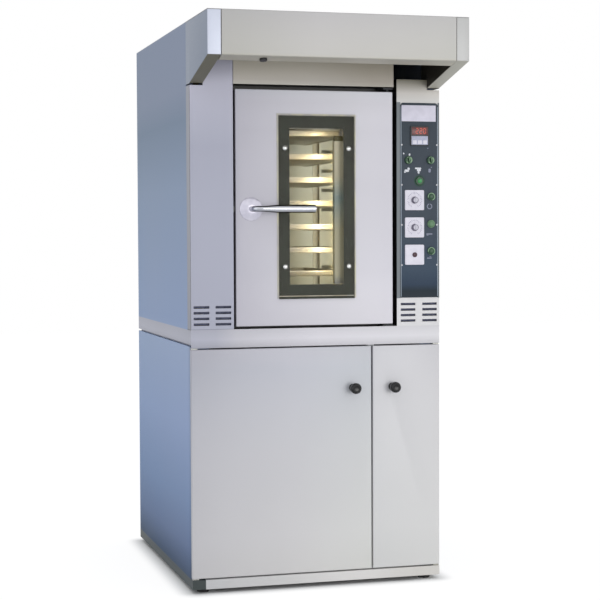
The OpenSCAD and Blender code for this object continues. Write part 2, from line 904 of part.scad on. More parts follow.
// Fan motor: mounting plate, finned body and end cap, with the bore for the wheel's shaft
module fan_motor() {
  y0 = plenum_y1 + liner_t;
  plate_t = 4;
  fins = 20;
  fin_h = 5;
  fin_t = 3;
  fin_root = 4;
  fin_y0 = 12;
  cap_l = 24;
  bore_l = 62;
  in_frame() color("steelblue") difference() {
    union() {
      bar_y(chamber_x, fan_z, y0, y0 + plate_t, motor_dia);
      bar_y(chamber_x, fan_z, y0 + plate_t, y0 + motor_l, motor_dia - 2 * fin_h);
      for (i = [0 : fins - 1]) {
        translate([chamber_x, 0, fan_z]) rotate([0, i * 360 / fins, 0])
          block([motor_dia / 2 - fin_h - fin_root, y0 + fin_y0, -fin_t / 2],
                [motor_dia / 2, y0 + motor_l - cap_l, fin_t / 2]);
      }
    }
    bar_y(chamber_x, fan_z, y0 - cut, y0 + bore_l, fan_shaft_dia + 2 * fit);
  }
}

// Pipe that leads the vapour from the chamber through the roof, with its collar
module vapour_pipe() {
  in_frame() color("silver") difference() {
    union() {
      bar_z(pipe_x, pipe_y, chamber_z1 + liner_t, case_h + pipe_up, pipe_dia);
      bar_z(pipe_x, pipe_y, case_h, case_h + sheet, pipe_dia + 2 * collar_w);
    }
    bar_z(pipe_x, pipe_y, chamber_z1, case_h + pipe_up + cut, pipe_dia - 2 * pipe_wall);
  }
}

// ---------- rack and its drive ----------

// Gearmotor on the chamber roof: plate, gearbox with hollow shaft, motor, terminal box
module rack_gearmotor() {
  flange_t = 10;
  flange_w = 4;
  box_w = 80;
  box_y = 40;
  box_l = 90;
  box_up = 24;
  cap_h = 5;
  cap_w = 15;
  z0 = roof_space_z;
  zg = z0 + gear_plate_t;
  zm = zg + gearbox_h / 2;
  y1 = rack_y + gearbox_w / 2;
  in_frame() color("steelblue") difference() {
    union() {
      block([chamber_x - gear_plate_w / 2, rack_y - gear_plate_w / 2, z0],
            [chamber_x + gear_plate_w / 2, rack_y + gear_plate_w / 2, zg]);
      block([chamber_x - gearbox_w / 2, rack_y - gearbox_w / 2, zg],
            [chamber_x + gearbox_w / 2, y1, zg + gearbox_h]);
      bar_y(chamber_x, zm, y1, y1 + gear_motor_l, gear_motor_dia);
      bar_y(chamber_x, zm, y1, y1 + flange_t, gear_motor_dia + 2 * flange_w);
      block([chamber_x - box_w / 2, y1 + box_y, zm],
            [chamber_x + box_w / 2, y1 + box_y + box_l, zm + gear_motor_dia / 2 + box_up]);
      bar_z(chamber_x, rack_y, zg + gearbox_h, zg + gearbox_h + cap_h, shaft_dia + 2 * cap_w);
    }
    bar_z(chamber_x, rack_y, z0 - cut, shaft_top_z, shaft_dia + 2 * fit);
  }
}

// Drive shaft with the hub that carries the rack
module rack_shaft() {
  in_frame() color("silver") {
    bar_z(chamber_x, rack_y, rack_top_z, shaft_top_z, shaft_dia);
    bar_z(chamber_x, rack_y, rack_top_z, rack_top_z + hub_h, hub_dia);
  }
}

// Hung rack: posts, top and bottom cross frames, lower pivot pin
module rack_frame() {
  x_out = tray_w / 2 + post_w + tray_play;
  beam = 20;
  angle_t = 3;
  pin_gap = 8;
  weld = 1;
  in_frame() color("lightgray") translate([chamber_x, rack_y, 0]) {
    for (sx = [-1, 1], sy = [-1, 1]) {
      translate([sx * (x_out - post_w / 2) - post_w / 2, sy * post_y - post_w / 2, rack_bottom_z])
        difference() {
          cube([post_w, post_w, rack_top_z - rack_bottom_z]);
          translate([sx > 0 ? -cut : angle_t, sy > 0 ? -cut : angle_t, -cut])
            cube([post_w - angle_t + cut, post_w - angle_t + cut, rack_top_z - rack_bottom_z + 2 * cut]);
        }
    }
    for (sy = [-1, 1], z = [rack_bottom_z, rack_top_z - beam]) {
      block([-x_out, sy * post_y - beam / 2, z], [x_out, sy * post_y + beam / 2, z + beam]);
    }
    for (z = [rack_bottom_z, rack_top_z - beam]) {
      block([-hub_dia / 2, -post_y, z], [hub_dia / 2, post_y, z + beam]);
    }
    bar_z(0, 0, chamber_z0 + pin_gap, rack_bottom_z + weld, pivot_dia);
  }
}

// Angle rails that the trays slide on, fixed to the inner sides of the posts
module tray_rails() {
  rail_short = 12;
  rail_out = tray_w / 2 + tray_play;
  rail_half = tray_l / 2 - rail_short;
  in_frame() color("lightgray") translate([chamber_x, rack_y, 0]) for (m = [0, 1]) {
    mirror([m, 0, 0]) for (i = [0 : tray_n - 1]) translate([0, 0, tray_z0 + i * tray_pitch]) {
      block([rail_out - rail_w, -rail_half, -rail_t], [rail_out, rail_half, 0]);
      block([rail_out - rail_t, -rail_half, -rail_t], [rail_out, rail_half, rail_up]);
    }
  }
}

// Eight baking trays lying on the rails
module trays() {
  wall = 1.5;
  side_gap = 0.5;
  in_frame() color("lightgray") for (i = [0 : tray_n - 1]) {
    translate([chamber_x, rack_y, tray_z0 + i * tray_pitch]) difference() {
      block([-tray_w / 2 + side_gap, -tray_l / 2, 0], [tray_w / 2 - side_gap, tray_l / 2, tray_h]);
      block([-tray_w / 2 + side_gap + wall, -tray_l / 2 + wall, wall],
            [tray_w / 2 - side_gap - wall, tray_l / 2 - wall, tray_h + cut]);
    }
  }
}

// Bearing on the chamber floor for the rack's lower pin
module floor_bearing() {
  seat_h = 6;
  in_frame() color("darkgray") difference() {
    bar_z(chamber_x, rack_y, chamber_z0, chamber_z0 + bearing_h, bearing_dia);
    bar_z(chamber_x, rack_y, chamber_z0 + seat_h, chamber_z0 + bearing_h + cut, pivot_dia + 2 * fit);
  }
}

// ---------- oven door ----------

// Outer pan of the door, with hinge blocks, window cut-out and the slot for the latch cam
module door_outer_skin() {
  block_x0 = hinge_x - hinge_block / 2;
  block_floor = 2;
  lip_gap = 4;
  cam_play = 3;
  in_frame() color("silver") difference() {
    union() {
      difference() {
        block([door_x0, 0, door_z0], [door_x1, pan_d, door_z1]);
        block([door_x0 + sheet, sheet, door_z0 + sheet], [door_x1 - sheet, pan_d - sheet, door_z1 - sheet]);
        block([door_x0 + fold_small, sheet, door_z0 + fold_small],
              [skin_x1 - lip_gap, pan_d + cut, door_z1 - fold_small]);
      }
      for (z = [door_z0, door_z1 - hinge_block_h]) {
        block([block_x0, 0, z], [block_x0 + hinge_block, 2 * hinge_y, z + hinge_block_h]);
      }
    }
    block([view_x0, -cut, view_z0], [view_x1, sheet + cut, view_z1]);
    bar_z(hinge_x, hinge_y, door_z0 - cut, door_z0 + hinge_block_h - block_floor, hinge_pin_dia + 2 * fit);
    bar_z(hinge_x, hinge_y, door_z1 - hinge_block_h + block_floor, door_z1 + cut, hinge_pin_dia + 2 * fit);
    bar_y(handle_x, handle_z, -cut, sheet + cut, spindle_dia + 2 * play);
    block([door_x0 - cut, cam_y0 - cam_play, handle_z - cam_slot_down],
          [door_x0 + sheet + cut, cam_y1 + cam_play, handle_z + cam_slot_up]);
    window_bolt_places() bar_y(0, 0, -cut, sheet + cut, bolt_hole_dia);
  }
}

// Inner skin of the door with the tunnel round the window and a rim that the glass lies on
module door_inner_skin() {
  in_frame() color("gainsboro") {
    difference() {
      block([skin_x0, pan_d, skin_z0], [skin_x1, door_t, skin_z1]);
      block([skin_x0 + sheet, pan_d - cut, skin_z0 + sheet],
            [skin_x1 - sheet, door_t - sheet, skin_z1 - sheet]);
      block([tunnel_x0 + inner_glass_lap, pan_d, tunnel_z0 + inner_glass_lap],
            [tunnel_x1 - inner_glass_lap, door_t + cut, tunnel_z1 - inner_glass_lap]);
    }
    difference() {
      block([tunnel_x0 - sheet, tunnel_y0, tunnel_z0 - sheet],
            [tunnel_x1 + sheet, door_t - sheet, tunnel_z1 + sheet]);
      block([tunnel_x0, tunnel_y0 - cut, tunnel_z0], [tunnel_x1, door_t, tunnel_z1]);
    }
  }
}

// Mineral wool in the door, left out round the window and round the latch
module door_insulation() {
  gap = 6;
  hinge_gap = 8;
  latch_w = 110;
  latch_h = 90;
  in_frame() color("khaki") difference() {
    block([skin_x0 + gap, gap, skin_z0 + gap], [skin_x1 - hinge_gap, door_t - gap, skin_z1 - gap]);
    block([tunnel_x0 - gap, 0, tunnel_z0 - gap], [tunnel_x1 + gap, door_t, tunnel_z1 + gap]);
    block([skin_x0, 0, handle_z - latch_h], [handle_x + latch_w / 2, door_t, handle_z + latch_h]);
  }
}

// The four places of the glass bolts
module window_bolt_places() {
  for (sx = [-1, 1], sz = [-1, 1]) {
    translate([glass_bolt_x + sx * glass_bolt_dx / 2, 0, glass_bolt_z + sz * glass_bolt_dz / 2]) children();
  }
}

// Outer glass, standing a little in front of the door
module window_outer_glass() {
  in_frame() color([0.15, 0.17, 0.12, 0.6]) difference() {
    block([glass_x0, -glass_gap - glass_t, glass_z0], [glass_x1, -glass_gap, glass_z1]);
    window_bolt_places() bar_y(0, 0, -glass_gap - glass_t - cut, -glass_gap + cut, bolt_hole_dia);
  }
}

// Inner glass in the tunnel, lying against the rim of the inner skin
module window_inner_glass() {
  in_frame() color([0.8, 0.85, 0.8, 0.4])
    block([tunnel_x0 + slack, door_t - sheet - inner_glass_t, tunnel_z0 + slack],
          [tunnel_x1 - slack, door_t - sheet, tunnel_z1 - slack]);
}

// Four dome-headed bolts with the bushes that space the glass from the door
module window_bolts() {
  head_dia = 17;
  head_h = 5;
  rim_h = 1.5;
  crown_h = 1;
  shank_dia = 8;
  bush_dia = 14;
  nut_h = 4;
  in_frame() color("white") window_bolt_places() {
    translate([0, -glass_gap - glass_t, 0]) rotate([90, 0, 0]) {
      rotate_extrude() polygon([
        [0, 0], [head_dia / 2, 0], [head_dia / 2, rim_h], [head_dia / 3, head_h - crown_h], [0, head_h]
      ]);
    }
    bar_y(0, 0, -glass_gap - glass_t, sheet, shank_dia);
    bar_y(0, 0, -glass_gap, 0, bush_dia);
    bar_y(0, 0, sheet, sheet + nut_h, bush_dia);
  }
}

// Lamp strip inside the door, beside the window
module door_lamp() {
  in_frame() color("wheat") block([tunnel_x1 - lamp_w, lamp_y0, lamp_z0], [tunnel_x1, lamp_y1, lamp_z1]);
}

// Upper and lower hinge brackets of the oven door, each with its pin
module door_hinge_brackets() {
  plate_t = 5;
  plate_w = 36;
  plate_y = 2;
  foot_d = 20;
  weld = 1;
  upper_drop = 9;
  pin_short = 4;
  upper_z = recess_z1 - upper_drop;
  lower_z = band_z1 + weld;
  pin_l = hinge_block_h - pin_short;
  in_frame() color("lightgray") {
    block([hinge_x - plate_w / 2, plate_y, upper_z], [hinge_x + plate_w / 2, recess_d, upper_z + plate_t]);
    block([hinge_x - plate_w / 2, recess_d - foot_d, upper_z + plate_t],
          [hinge_x + plate_w / 2, recess_d, recess_z1]);
    bar_z(hinge_x, hinge_y, door_z1 - pin_l, upper_z + weld, hinge_pin_dia);
    block([hinge_x - plate_w / 2, plate_y, band_z1], [hinge_x + plate_w / 2, recess_d, lower_z + plate_t]);
    bar_z(hinge_x, hinge_y, lower_z, door_z0 + pin_l, hinge_pin_dia);
  }
}

// Domed rose of the handle, a cap with the bore for the spindle
module handle_rose() {
  edge_h = 3;
  boss_dia = 30;
  steps = 8;
  in_frame() color("gainsboro") translate([handle_x, 0, handle_z]) rotate([90, 0, 0]) {
    rotate_extrude() polygon(concat(
      [[spindle_dia / 2 + fit, 0], [rose_dia / 2, 0], [rose_dia / 2, edge_h]],
      [for (i = [1 : steps])
        let (a = 90 * i / steps)
        [boss_dia / 2 + (rose_dia - boss_dia) / 2 * cos(a), edge_h + (rose_h - edge_h) * sin(a)]],
      [[spindle_dia / 2 + fit, rose_h]]
    ));
  }
}

// Lever: spindle, tapered neck, elbow and straight tube with a flat end
module handle_lever() {
  neck_dia = 20;
  bend_r = 30;
  taper_l = 50;
  in_frame() color("gainsboro") translate([handle_x, 0, handle_z]) {
    rotate([90, 0, 0]) translate([0, 0, -cam_y0]) cylinder(d = spindle_dia, h = cam_y0 + rose_h + slack);
    rotate([90, 0, 0]) translate([0, 0, rose_h + slack])
      cylinder(d = neck_dia, h = lever_reach - bend_r - rose_h - slack);
    translate([bend_r, -(lever_reach - bend_r), 0]) rotate([0, 0, 180])
      rotate_extrude(angle = 90) translate([bend_r, 0]) circle(d = neck_dia);
    translate([bend_r, -lever_reach, 0]) rotate([0, 90, 0]) {
      cylinder(d1 = neck_dia, d2 = lever_dia, h = taper_l);
      translate([0, 0, taper_l]) cylinder(d = lever_dia, h = lever_l - bend_r - taper_l);
    }
  }
}

// Cam on the spindle: its nose reaches through the door's edge and prises the door off the keeper
module latch_cam() {
  cam_h = 20;
  boss_dia = 34;
  in_frame() color("darkgray") translate([handle_x, 0, handle_z]) {
    bar_y(0, 0, cam_y0, cam_y1, boss_dia);
    block([-cam_l, cam_y0, -cam_h / 2], [0, cam_y1, cam_h / 2]);
  }
}

// Keeper on the side of the recess, behind the nose of the cam
module latch_keeper() {
  keeper_h = 44;
  keeper_t = 7;
  screw_dia = 3;
  in_frame() color("darkgray") difference() {
    block([recess_x0, cam_y1 + slack, handle_z - keeper_h / 2],
          [recess_x0 + keeper_t, recess_d, handle_z + keeper_h / 2]);
    bar_y(recess_x0 + keeper_t / 2, handle_z + keeper_h / 3, cam_y1, recess_d + cut, screw_dia);
  }
}

// ---------- hood ----------

// Height of the sloping rim plane at depth y
function rim_z(y) = hood_back_z - rim_slope * y;

// Fascia, top sheet and the sloping rim under the fascia, one folded sheet
module hood_canopy() {
  x1 = hx - arm_w;
  lip = 14;
  bore_l = 40;
  in_frame() color("silver") difference() {
    union() {
      block([-x1, -hood_reach, fascia_z0], [x1, -hood_reach + sheet, case_h - sheet]);
      block([-hx, -hood_reach, case_h - sheet], [hx, strip_d, case_h]);
      translate([-x1, 0, 0]) rotate([90, 0, 90]) linear_extrude(2 * x1) polygon([
        [-hood_reach, rim_z(-hood_reach)], [-hood_reach + rim_d, rim_z(-hood_reach + rim_d)],
        [-hood_reach + rim_d, rim_z(-hood_reach + rim_d) + lip],
        [-hood_reach + rim_d - sheet, rim_z(-hood_reach + rim_d) + lip],
        [-hood_reach + rim_d - sheet, rim_z(-hood_reach + rim_d) + 2 * sheet],
        [-hood_reach, rim_z(-hood_reach) + 1.5 * sheet]
      ]);
    }
    switch_place() translate([0, 0, -bore_l / 2]) cylinder(d = switch_dia + 2 * fit, h = bore_l);
  }
}

// A side arm, drawn on the left: a box of sheet, open where the column is notched
module hood_arm() {
  wall = sheet;
  open_h = 14;
  color("lightsteelblue") difference() {
    translate([-hx, 0, 0]) rotate([90, 0, 90]) linear_extrude(arm_w) polygon([
      [-hood_reach, rim_z(-hood_reach)], [0, hood_back_z], [strip_d, hood_back_z],
      [strip_d, case_h - wall], [-hood_reach, case_h - wall]
    ]);
    translate([-hx + wall, 0, 0]) rotate([90, 0, 90]) linear_extrude(arm_w - 2 * wall) polygon([
      [-hood_reach + wall, rim_z(-hood_reach) + wall], [0, hood_back_z + wall],
      [strip_d + cut, hood_back_z + wall], [strip_d + cut, case_h - 2 * wall],
      [-hood_reach + wall, case_h - 2 * wall]
    ]);
    block([-hx + wall, -arm_gap, hood_back_z - cut],
          [-hx + arm_w + cut, strip_d + cut, hood_back_z + open_h]);
  }
}

module hood_left_arm() {
  in_frame() hood_arm();
}

module hood_right_arm() {
  in_frame() right_hand() hood_arm();
}

// Puts the switch on the rim, square to its slope
module switch_place() {
  translate([switch_x, -hood_reach + switch_y, rim_z(-hood_reach + switch_y)])
    rotate([-rim_angle, 0, 0]) children();
}

// Round black switch under the rim, pushed upwards
module hood_switch() {
  out = 7;
  inside = 12;
  collar_z = 8;
  collar_h = 4;
  collar_w = 3;
  in_frame() color([0.05, 0.05, 0.05]) switch_place() {
    translate([0, 0, -out]) cylinder(d = switch_dia, h = out + inside);
    translate([0, 0, collar_z]) cylinder(d = switch_dia + 2 * collar_w, h = collar_h);
  }
}

// ---------- control panel ----------

// Outline of the panel with two round upper corners
module panel_outline() {
  square([panel_w, panel_z1 - panel_z0 - panel_corner]);
  translate([panel_corner, 0]) square([panel_w - 2 * panel_corner, panel_z1 - panel_z0]);
  for (x = [panel_corner, panel_w - panel_corner]) {
    translate([x, panel_z1 - panel_z0 - panel_corner]) circle(r = panel_corner);
  }
}

// The places of the three dials, the selectors and the lamps
module dial_places() {
  for (i = [0 : 2]) {
    translate([dial_x, -panel_t, dial_z - i * dial_pitch]) children();
  }
}

module side_lamp_places() {
  for (i = [0 : 2]) {
    translate([side_lamp_x, -panel_t, dial_z + side_lamp_up - i * dial_pitch]) children();
  }
  translate([panel_x, -panel_t, pilot_z]) children();
}

// Panel plate with the cut-outs for everything that stands in it
module control_panel() {
  hole = instrument_w + 1;
  in_frame() color([0.2, 0.24, 0.28]) difference() {
    translate([panel_x0, 0, panel_z0]) rotate([90, 0, 0]) linear_extrude(panel_t) panel_outline();
    translate([panel_x, 0, controller_z]) cube([hole, 4 * panel_t, hole], center = true);
    dial_places() cube([hole, 4 * panel_t, hole], center = true);
    side_lamp_places() bar_y(0, 0, -cut, panel_t + cut, round_body_dia + 2 * panel_play);
    for (sx = [-1, 1]) {
      bar_y(panel_x + sx * selector_dx, selector_z, -panel_t - cut, cut, round_body_dia + 2 * fit);
    }
  }
}

// Square digital controller: bezel with a recessed window, and its body behind the panel
module temperature_controller() {
  side = controller_side;
  body = instrument_w;
  frame_w = 6;
  window_z = 2;
  window_h = side / 2 - 7;
  window_deep = 2;
  in_frame() color([0.12, 0.12, 0.13]) translate([panel_x, -panel_t, controller_z]) {
    difference() {
      translate([-side / 2, -bezel_t, -side / 2]) cube([side, bezel_t, side]);
      translate([-side / 2 + frame_w, -bezel_t - cut, window_z])
        cube([side - 2 * frame_w, cut + window_deep, window_h]);
    }
    translate([-body / 2, 0, -body / 2]) cube([body, instrument_d, body]);
  }
}

// Three square plates with the clockwork of their timers behind the panel;
// the lowest has only a short button
module dial_plates() {
  side = dial_side;
  body = instrument_w;
  shaft_room = 20;
  button_dia = 10;
  button_out = 4;
  in_frame() color("white") {
    difference() {
      dial_places() {
        translate([-side / 2, -bezel_t, -side / 2]) cube([side, bezel_t, side]);
        translate([-body / 2, 0, -body / 2]) cube([body, instrument_d, body]);
      }
      dial_places() bar_y(0, 0, -bezel_t - cut, shaft_room, timer_shaft_dia + 2 * fit);
    }
    translate([dial_x, -panel_t, dial_z - 2 * dial_pitch])
      bar_y(0, 0, -bezel_t - button_out, shaft_room, button_dia);
  }
}

// A timer knob with a pointer ridge and its shaft
module timer_knob(z) {
  skirt_h = 11;
  crown_h = 4;
  crown_in = 3;
  ridge_w = 3;
  ridge_l = timer_knob_dia / 2 - 2;
  ridge_h = 5;
  shaft_l = 18;
  color("gainsboro") translate([dial_x, -panel_t - bezel_t - slack, z]) rotate([90, 0, 0]) {
    cylinder(d = timer_knob_dia, h = skirt_h);
    translate([0, 0, skirt_h])
      cylinder(d1 = timer_knob_dia, d2 = timer_knob_dia - 2 * crown_in, h = crown_h);
    translate([-ridge_w / 2, 0, skirt_h]) cube([ridge_w, ridge_l, ridge_h]);
    translate([0, 0, -shaft_l]) cylinder(d = timer_shaft_dia, h = shaft_l);
  }
}

module upper_timer_knob() {
  in_frame() timer_knob(dial_z);
}

module lower_timer_knob() {
  in_frame() timer_knob(dial_z - dial_pitch);
}

// A round selector with a grip bar, turning in the panel's hole
module selector(x) {
  head_h = 8;
  grip_h = 12;
  grip_w = 9;
  grip_in = 2;
  body_l = 40;
  color("seagreen") translate([x, -panel_t - slack, selector_z]) rotate([90, 0, 0]) {
    cylinder(d = round_dia, h = head_h);
    translate([-grip_w / 2, -round_dia / 2 + grip_in, head_h])
      cube([grip_w, round_dia - 2 * grip_in, grip_h]);
    translate([0, 0, -body_l]) cylinder(d = round_body_dia, h = body_l);
  }
}

module left_selector() {
  in_frame() selector(panel_x - selector_dx);
}

module right_selector() {
  in_frame() selector(panel_x + selector_dx);
}

// Four green signal lamps: bezel, lens and body
module signal_lamps() {
  lens_dia = round_dia - 5;
  lens_top_dia = lens_dia - 8;
  ring_h = 5;
  lens_h = 6;
  body_l = 36;
  in_frame() color("limegreen") side_lamp_places() rotate([90, 0, 0]) {
    cylinder(d = round_dia, h = ring_h);
    translate([0, 0, ring_h]) cylinder(d1 = lens_dia, d2 = lens_top_dia, h = lens_h);
    translate([0, 0, -body_l]) cylinder(d = round_body_dia, h = body_l);
  }
}

cabinet_left_side();
cabinet_right_side();
cabinet_back();
cabinet_floor();
cabinet_partition();
cabinet_plinth();
levelling_feet();
cabinet_hinges();
magnetic_catches();
wide_cabinet_door();
narrow_cabinet_door();
wide_door_knob();
narrow_door_knob();
oven_base_frame();
oven_left_side();
oven_right_side();
oven_back();
oven_roof();
left_column();
header_panel();
right_column();
chamber_liner();
insulation();
door_gasket();
air_baffle();
heating_elements();
fan_wheel();
fan_motor();
vapour_pipe();
rack_gearmotor();
rack_shaft();
rack_frame();
tray_rails();
trays();
floor_bearing();
door_outer_skin();
door_inner_skin();
door_insulation();
window_outer_glass();
window_inner_glass();
window_bolts();
door_lamp();
door_hinge_brackets();
handle_rose();
handle_lever();
latch_cam();
latch_keeper();
hood_canopy();
hood_left_arm();
hood_right_arm();
hood_switch();
control_panel();
temperature_controller();
signal_lamps();
left_selector();
right_selector();
dial_plates();
upper_timer_knob();
lower_timer_knob();
cable_gland();
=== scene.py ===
# %% [markdown]
# # A rotating rack oven, dressed for its picture
# The solid model of the oven is loaded first, fixes every size and stays as it is. What it leaves plain
# is made again as a better piece: folded sheets with soft edges, the glass, the trays, the knobs and the
# lamps. Every other surface gets a finish of its own.

# %% Load the solid oven
import bpy
import math
from mathutils import Matrix, Vector


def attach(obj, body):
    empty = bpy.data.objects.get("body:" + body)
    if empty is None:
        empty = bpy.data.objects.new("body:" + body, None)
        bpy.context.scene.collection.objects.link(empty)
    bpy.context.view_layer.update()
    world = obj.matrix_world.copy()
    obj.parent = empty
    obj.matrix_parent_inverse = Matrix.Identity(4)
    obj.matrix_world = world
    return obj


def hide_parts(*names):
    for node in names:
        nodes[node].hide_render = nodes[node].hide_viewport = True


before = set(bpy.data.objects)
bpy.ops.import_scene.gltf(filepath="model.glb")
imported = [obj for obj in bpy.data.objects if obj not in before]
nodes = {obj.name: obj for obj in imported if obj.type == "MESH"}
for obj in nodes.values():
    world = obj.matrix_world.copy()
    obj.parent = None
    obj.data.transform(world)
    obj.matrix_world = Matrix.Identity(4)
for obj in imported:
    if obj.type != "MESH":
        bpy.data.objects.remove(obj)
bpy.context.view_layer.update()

# %% [markdown]
# ## Places in millimetres
# A fitter measures an oven from the front plane of its doors, in millimetres. Blender works in metres,
# from under the middle of the whole oven. One small function turns the fitter's numbers into Blender's,
# so that every later cell can be read with a tape measure in hand.

# %% From the front plane to the frame
FRONT = 0.3975
UP, DOWN, RIGHT, LEFT, BACK, OUT = (0, 0, 1), (0, 0, -1), (1, 0, 0), (-1, 0, 0), (0, 1, 0), (0, -1, 0)
WHITE = (1, 1, 1, 1)


def at(x, y, z):
    """The point x mm to the right, y mm behind the front plane and z mm above the floor."""
    return Vector((x / 1000, y / 1000 - FRONT, z / 1000))


def mm(value):
    return value / 1000


def tint(red, green, blue):
    """A screen colour, 0 to 255, as the linear colour that a shader takes."""
    parts = [c / 255 for c in (red, green, blue)]
    return tuple(((p + 0.055) / 1.055) ** 2.4 if p > 0.04 else p / 12.92 for p in parts) + (1,)


print("front plane:", at(0, 0, 0))

# %% [markdown]
# ## The camera
# The photograph was taken from the left of the oven at chest height, with a long lens: upright edges
# stay upright and the far side is nearly as tall as the near one. The camera could be turned by eye.
# Here its three directions are worked out from yaw, pitch and roll, which repeats exactly.

# %% Camera
YAW, PITCH, ROLL = (math.radians(a) for a in (15.72, 2.35, -0.24))
look = Vector((math.sin(YAW) * math.cos(PITCH), math.cos(YAW) * math.cos(PITCH), -math.sin(PITCH)))
level = Vector((math.cos(YAW), -math.sin(YAW), 0))
over = level.cross(look)
side = level * math.cos(ROLL) + over * math.sin(ROLL)
top = side.cross(look)
bpy.ops.object.camera_add()
camera = bpy.context.object
camera.matrix_world = Matrix((side, top, -look)).transposed().to_4x4()
camera.location = (-1.630, -5.9505, 1.286)
camera.data.sensor_width = 36
camera.data.lens = 95.66
camera.data.clip_end = 100
bpy.context.scene.camera = camera
bpy.context.scene.view_settings.view_transform = "Standard"
print("camera looks along", tuple(round(v, 3) for v in look))

# %% [markdown]
# ## Working by hand, in code
# Most of the oven is sheet steel. Such a part starts as a flat blank or a box, loses the faces that are
# open, gets its folds rounded and at last its thickness. The helpers do these steps with Blender's own
# operators: add a primitive, pick faces or edges by their place, and apply each modifier at once.

# %% Helpers: modes, names and modifiers
def edit_mode():
    bpy.ops.object.mode_set(mode="EDIT")


def object_mode():
    bpy.ops.object.mode_set(mode="OBJECT")


def deselect_all():
    if bpy.context.object and bpy.context.object.mode != "OBJECT":
        object_mode()
    bpy.ops.object.select_all(action="DESELECT")


def work_on(piece):
    deselect_all()
    piece.select_set(True)
    bpy.context.view_layer.objects.active = piece


def named(piece, name):
    piece.name = name
    piece.data.name = name
    return piece


def settle():
    """Makes the shift, turn and stretch of the active piece part of its mesh."""
    bpy.ops.object.transform_apply(location=True, rotation=True, scale=True)


def modify(piece, kind, **settings):
    work_on(piece)
    modifier = piece.modifiers.new(kind.lower(), kind)
    for key, value in settings.items():
        setattr(modifier, key, value)
    bpy.ops.object.modifier_apply(modifier=modifier.name)


def soften(piece, radius, steps=2):
    """Rounds every edge sharper than 30 degrees."""
    modify(piece, "BEVEL", width=mm(radius), segments=steps, angle_limit=math.radians(30))


def give_thickness(piece, thickness=1.5):
    """Gives a folded sheet its thickness, towards the inside."""
    modify(piece, "SOLIDIFY", thickness=mm(thickness), offset=-1, use_even_offset=True)


# %% Helpers: blocks, and picking faces or edges by their place
def block(name, low, high, radius=None, steps=2, corner=None):
    """A cube stretched between two corners in millimetres. If asked, the edges that run from front to
    back are rounded to a corner radius, and then all edges are softened."""
    low, high = at(*low), at(*high)
    deselect_all()
    bpy.ops.mesh.primitive_cube_add(size=1, location=(low + high) / 2)
    piece = named(bpy.context.object, name)
    piece.scale = high - low
    settle()
    if corner:
        round_edges(piece, lambda m, d: abs(d.y) > 0.9, corner)
    if radius:
        soften(piece, radius, steps)
    return piece


def pick(piece, kind, test):
    """Opens edit mode with only those faces or edges selected that pass the test."""
    work_on(piece)
    edit_mode()
    bpy.ops.mesh.select_mode(type=kind)
    bpy.ops.mesh.select_all(action="DESELECT")
    object_mode()
    mesh = piece.data
    if kind == "FACE":
        for face in mesh.polygons:
            face.select = bool(test(face.center, face.normal))
    else:
        for edge in mesh.edges:
            a, b = (mesh.vertices[i].co for i in edge.vertices)
            edge.select = bool(test((a + b) / 2, (b - a).normalized()))
    edit_mode()


def draw_out(move):
    bpy.ops.mesh.extrude_region_move(TRANSFORM_OT_translate={"value": move})


def close_up(weld=False):
    """Ends an edit: welds corners that meet, if asked, and turns every face outward."""
    bpy.ops.mesh.select_all(action="SELECT")
    if weld:
        bpy.ops.mesh.remove_doubles(threshold=1e-6)
    bpy.ops.mesh.normals_make_consistent(inside=False)
    object_mode()


def round_edges(piece, test, radius, steps=3):
    pick(piece, "EDGE", test)
    bpy.ops.mesh.bevel(offset=mm(radius), segments=steps, affect="EDGES")
    object_mode()


def slice_at(piece, point, normal):
    """Cuts new edges where a plane crosses the piece, and takes nothing away."""
    work_on(piece)
    edit_mode()
    bpy.ops.mesh.select_all(action="SELECT")
    bpy.ops.mesh.bisect(plane_co=point, plane_no=normal)
    object_mode()


def drop_faces(piece, test):
    pick(piece, "FACE", test)
    bpy.ops.mesh.delete(type="FACE")
    object_mode()


# %% Helpers: cut, join, copy and hand over
def cut_away(piece, cutter):
    """Takes the shape of the cutter out of the piece and clears the cutter away."""
    modify(piece, "BOOLEAN", object=cutter, operation="DIFFERENCE", solver="EXACT")
    bpy.data.objects.remove(cutter)


def bore(piece, place, direction, length, dia, sides=32):
    """Drills a round hole: a bar of that length, about a place in millimetres, is taken out."""
    deselect_all()
    turn = Vector(direction).to_track_quat("Z", "Y").to_euler()
    bpy.ops.mesh.primitive_cylinder_add(vertices=sides, radius=mm(dia / 2), depth=mm(length),
                                        location=at(*place), rotation=turn)
    settle()
    cut_away(piece, bpy.context.object)


def join(name, pieces):
    deselect_all()
    for piece in pieces:
        piece.select_set(True)
    bpy.context.view_layer.objects.active = pieces[0]
    bpy.ops.object.join()
    return named(bpy.context.object, name)


def copy_to(piece, name, shift):
    """A copy with its own mesh, moved by a shift in metres."""
    work_on(piece)
    bpy.ops.object.duplicate()
    twin = named(bpy.context.object, name)
    twin.location = shift
    settle()
    return twin


def swing(piece, x, z, angle):
    """Turns a piece about a line that runs from front to back through x and z."""
    work_on(piece)
    piece.matrix_world = (Matrix.Translation(at(x, 0, z)) @ Matrix.Rotation(angle, 4, "Y")
                          @ Matrix.Translation(-at(x, 0, z)))
    settle()


def hand_over(piece, finish, slot, body, *stands_for):
    """Smooths a finished piece, gives it its finish and fixes it to its body."""
    work_on(piece)
    bpy.ops.object.shade_smooth_by_angle(angle=math.radians(35))
    if finish:
        piece.data.materials.clear()
        piece.data.materials.append(finish)
    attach(piece, body)
    if stands_for:
        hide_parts(*stands_for)
    print(piece.name, "faces:", len(piece.data.polygons))


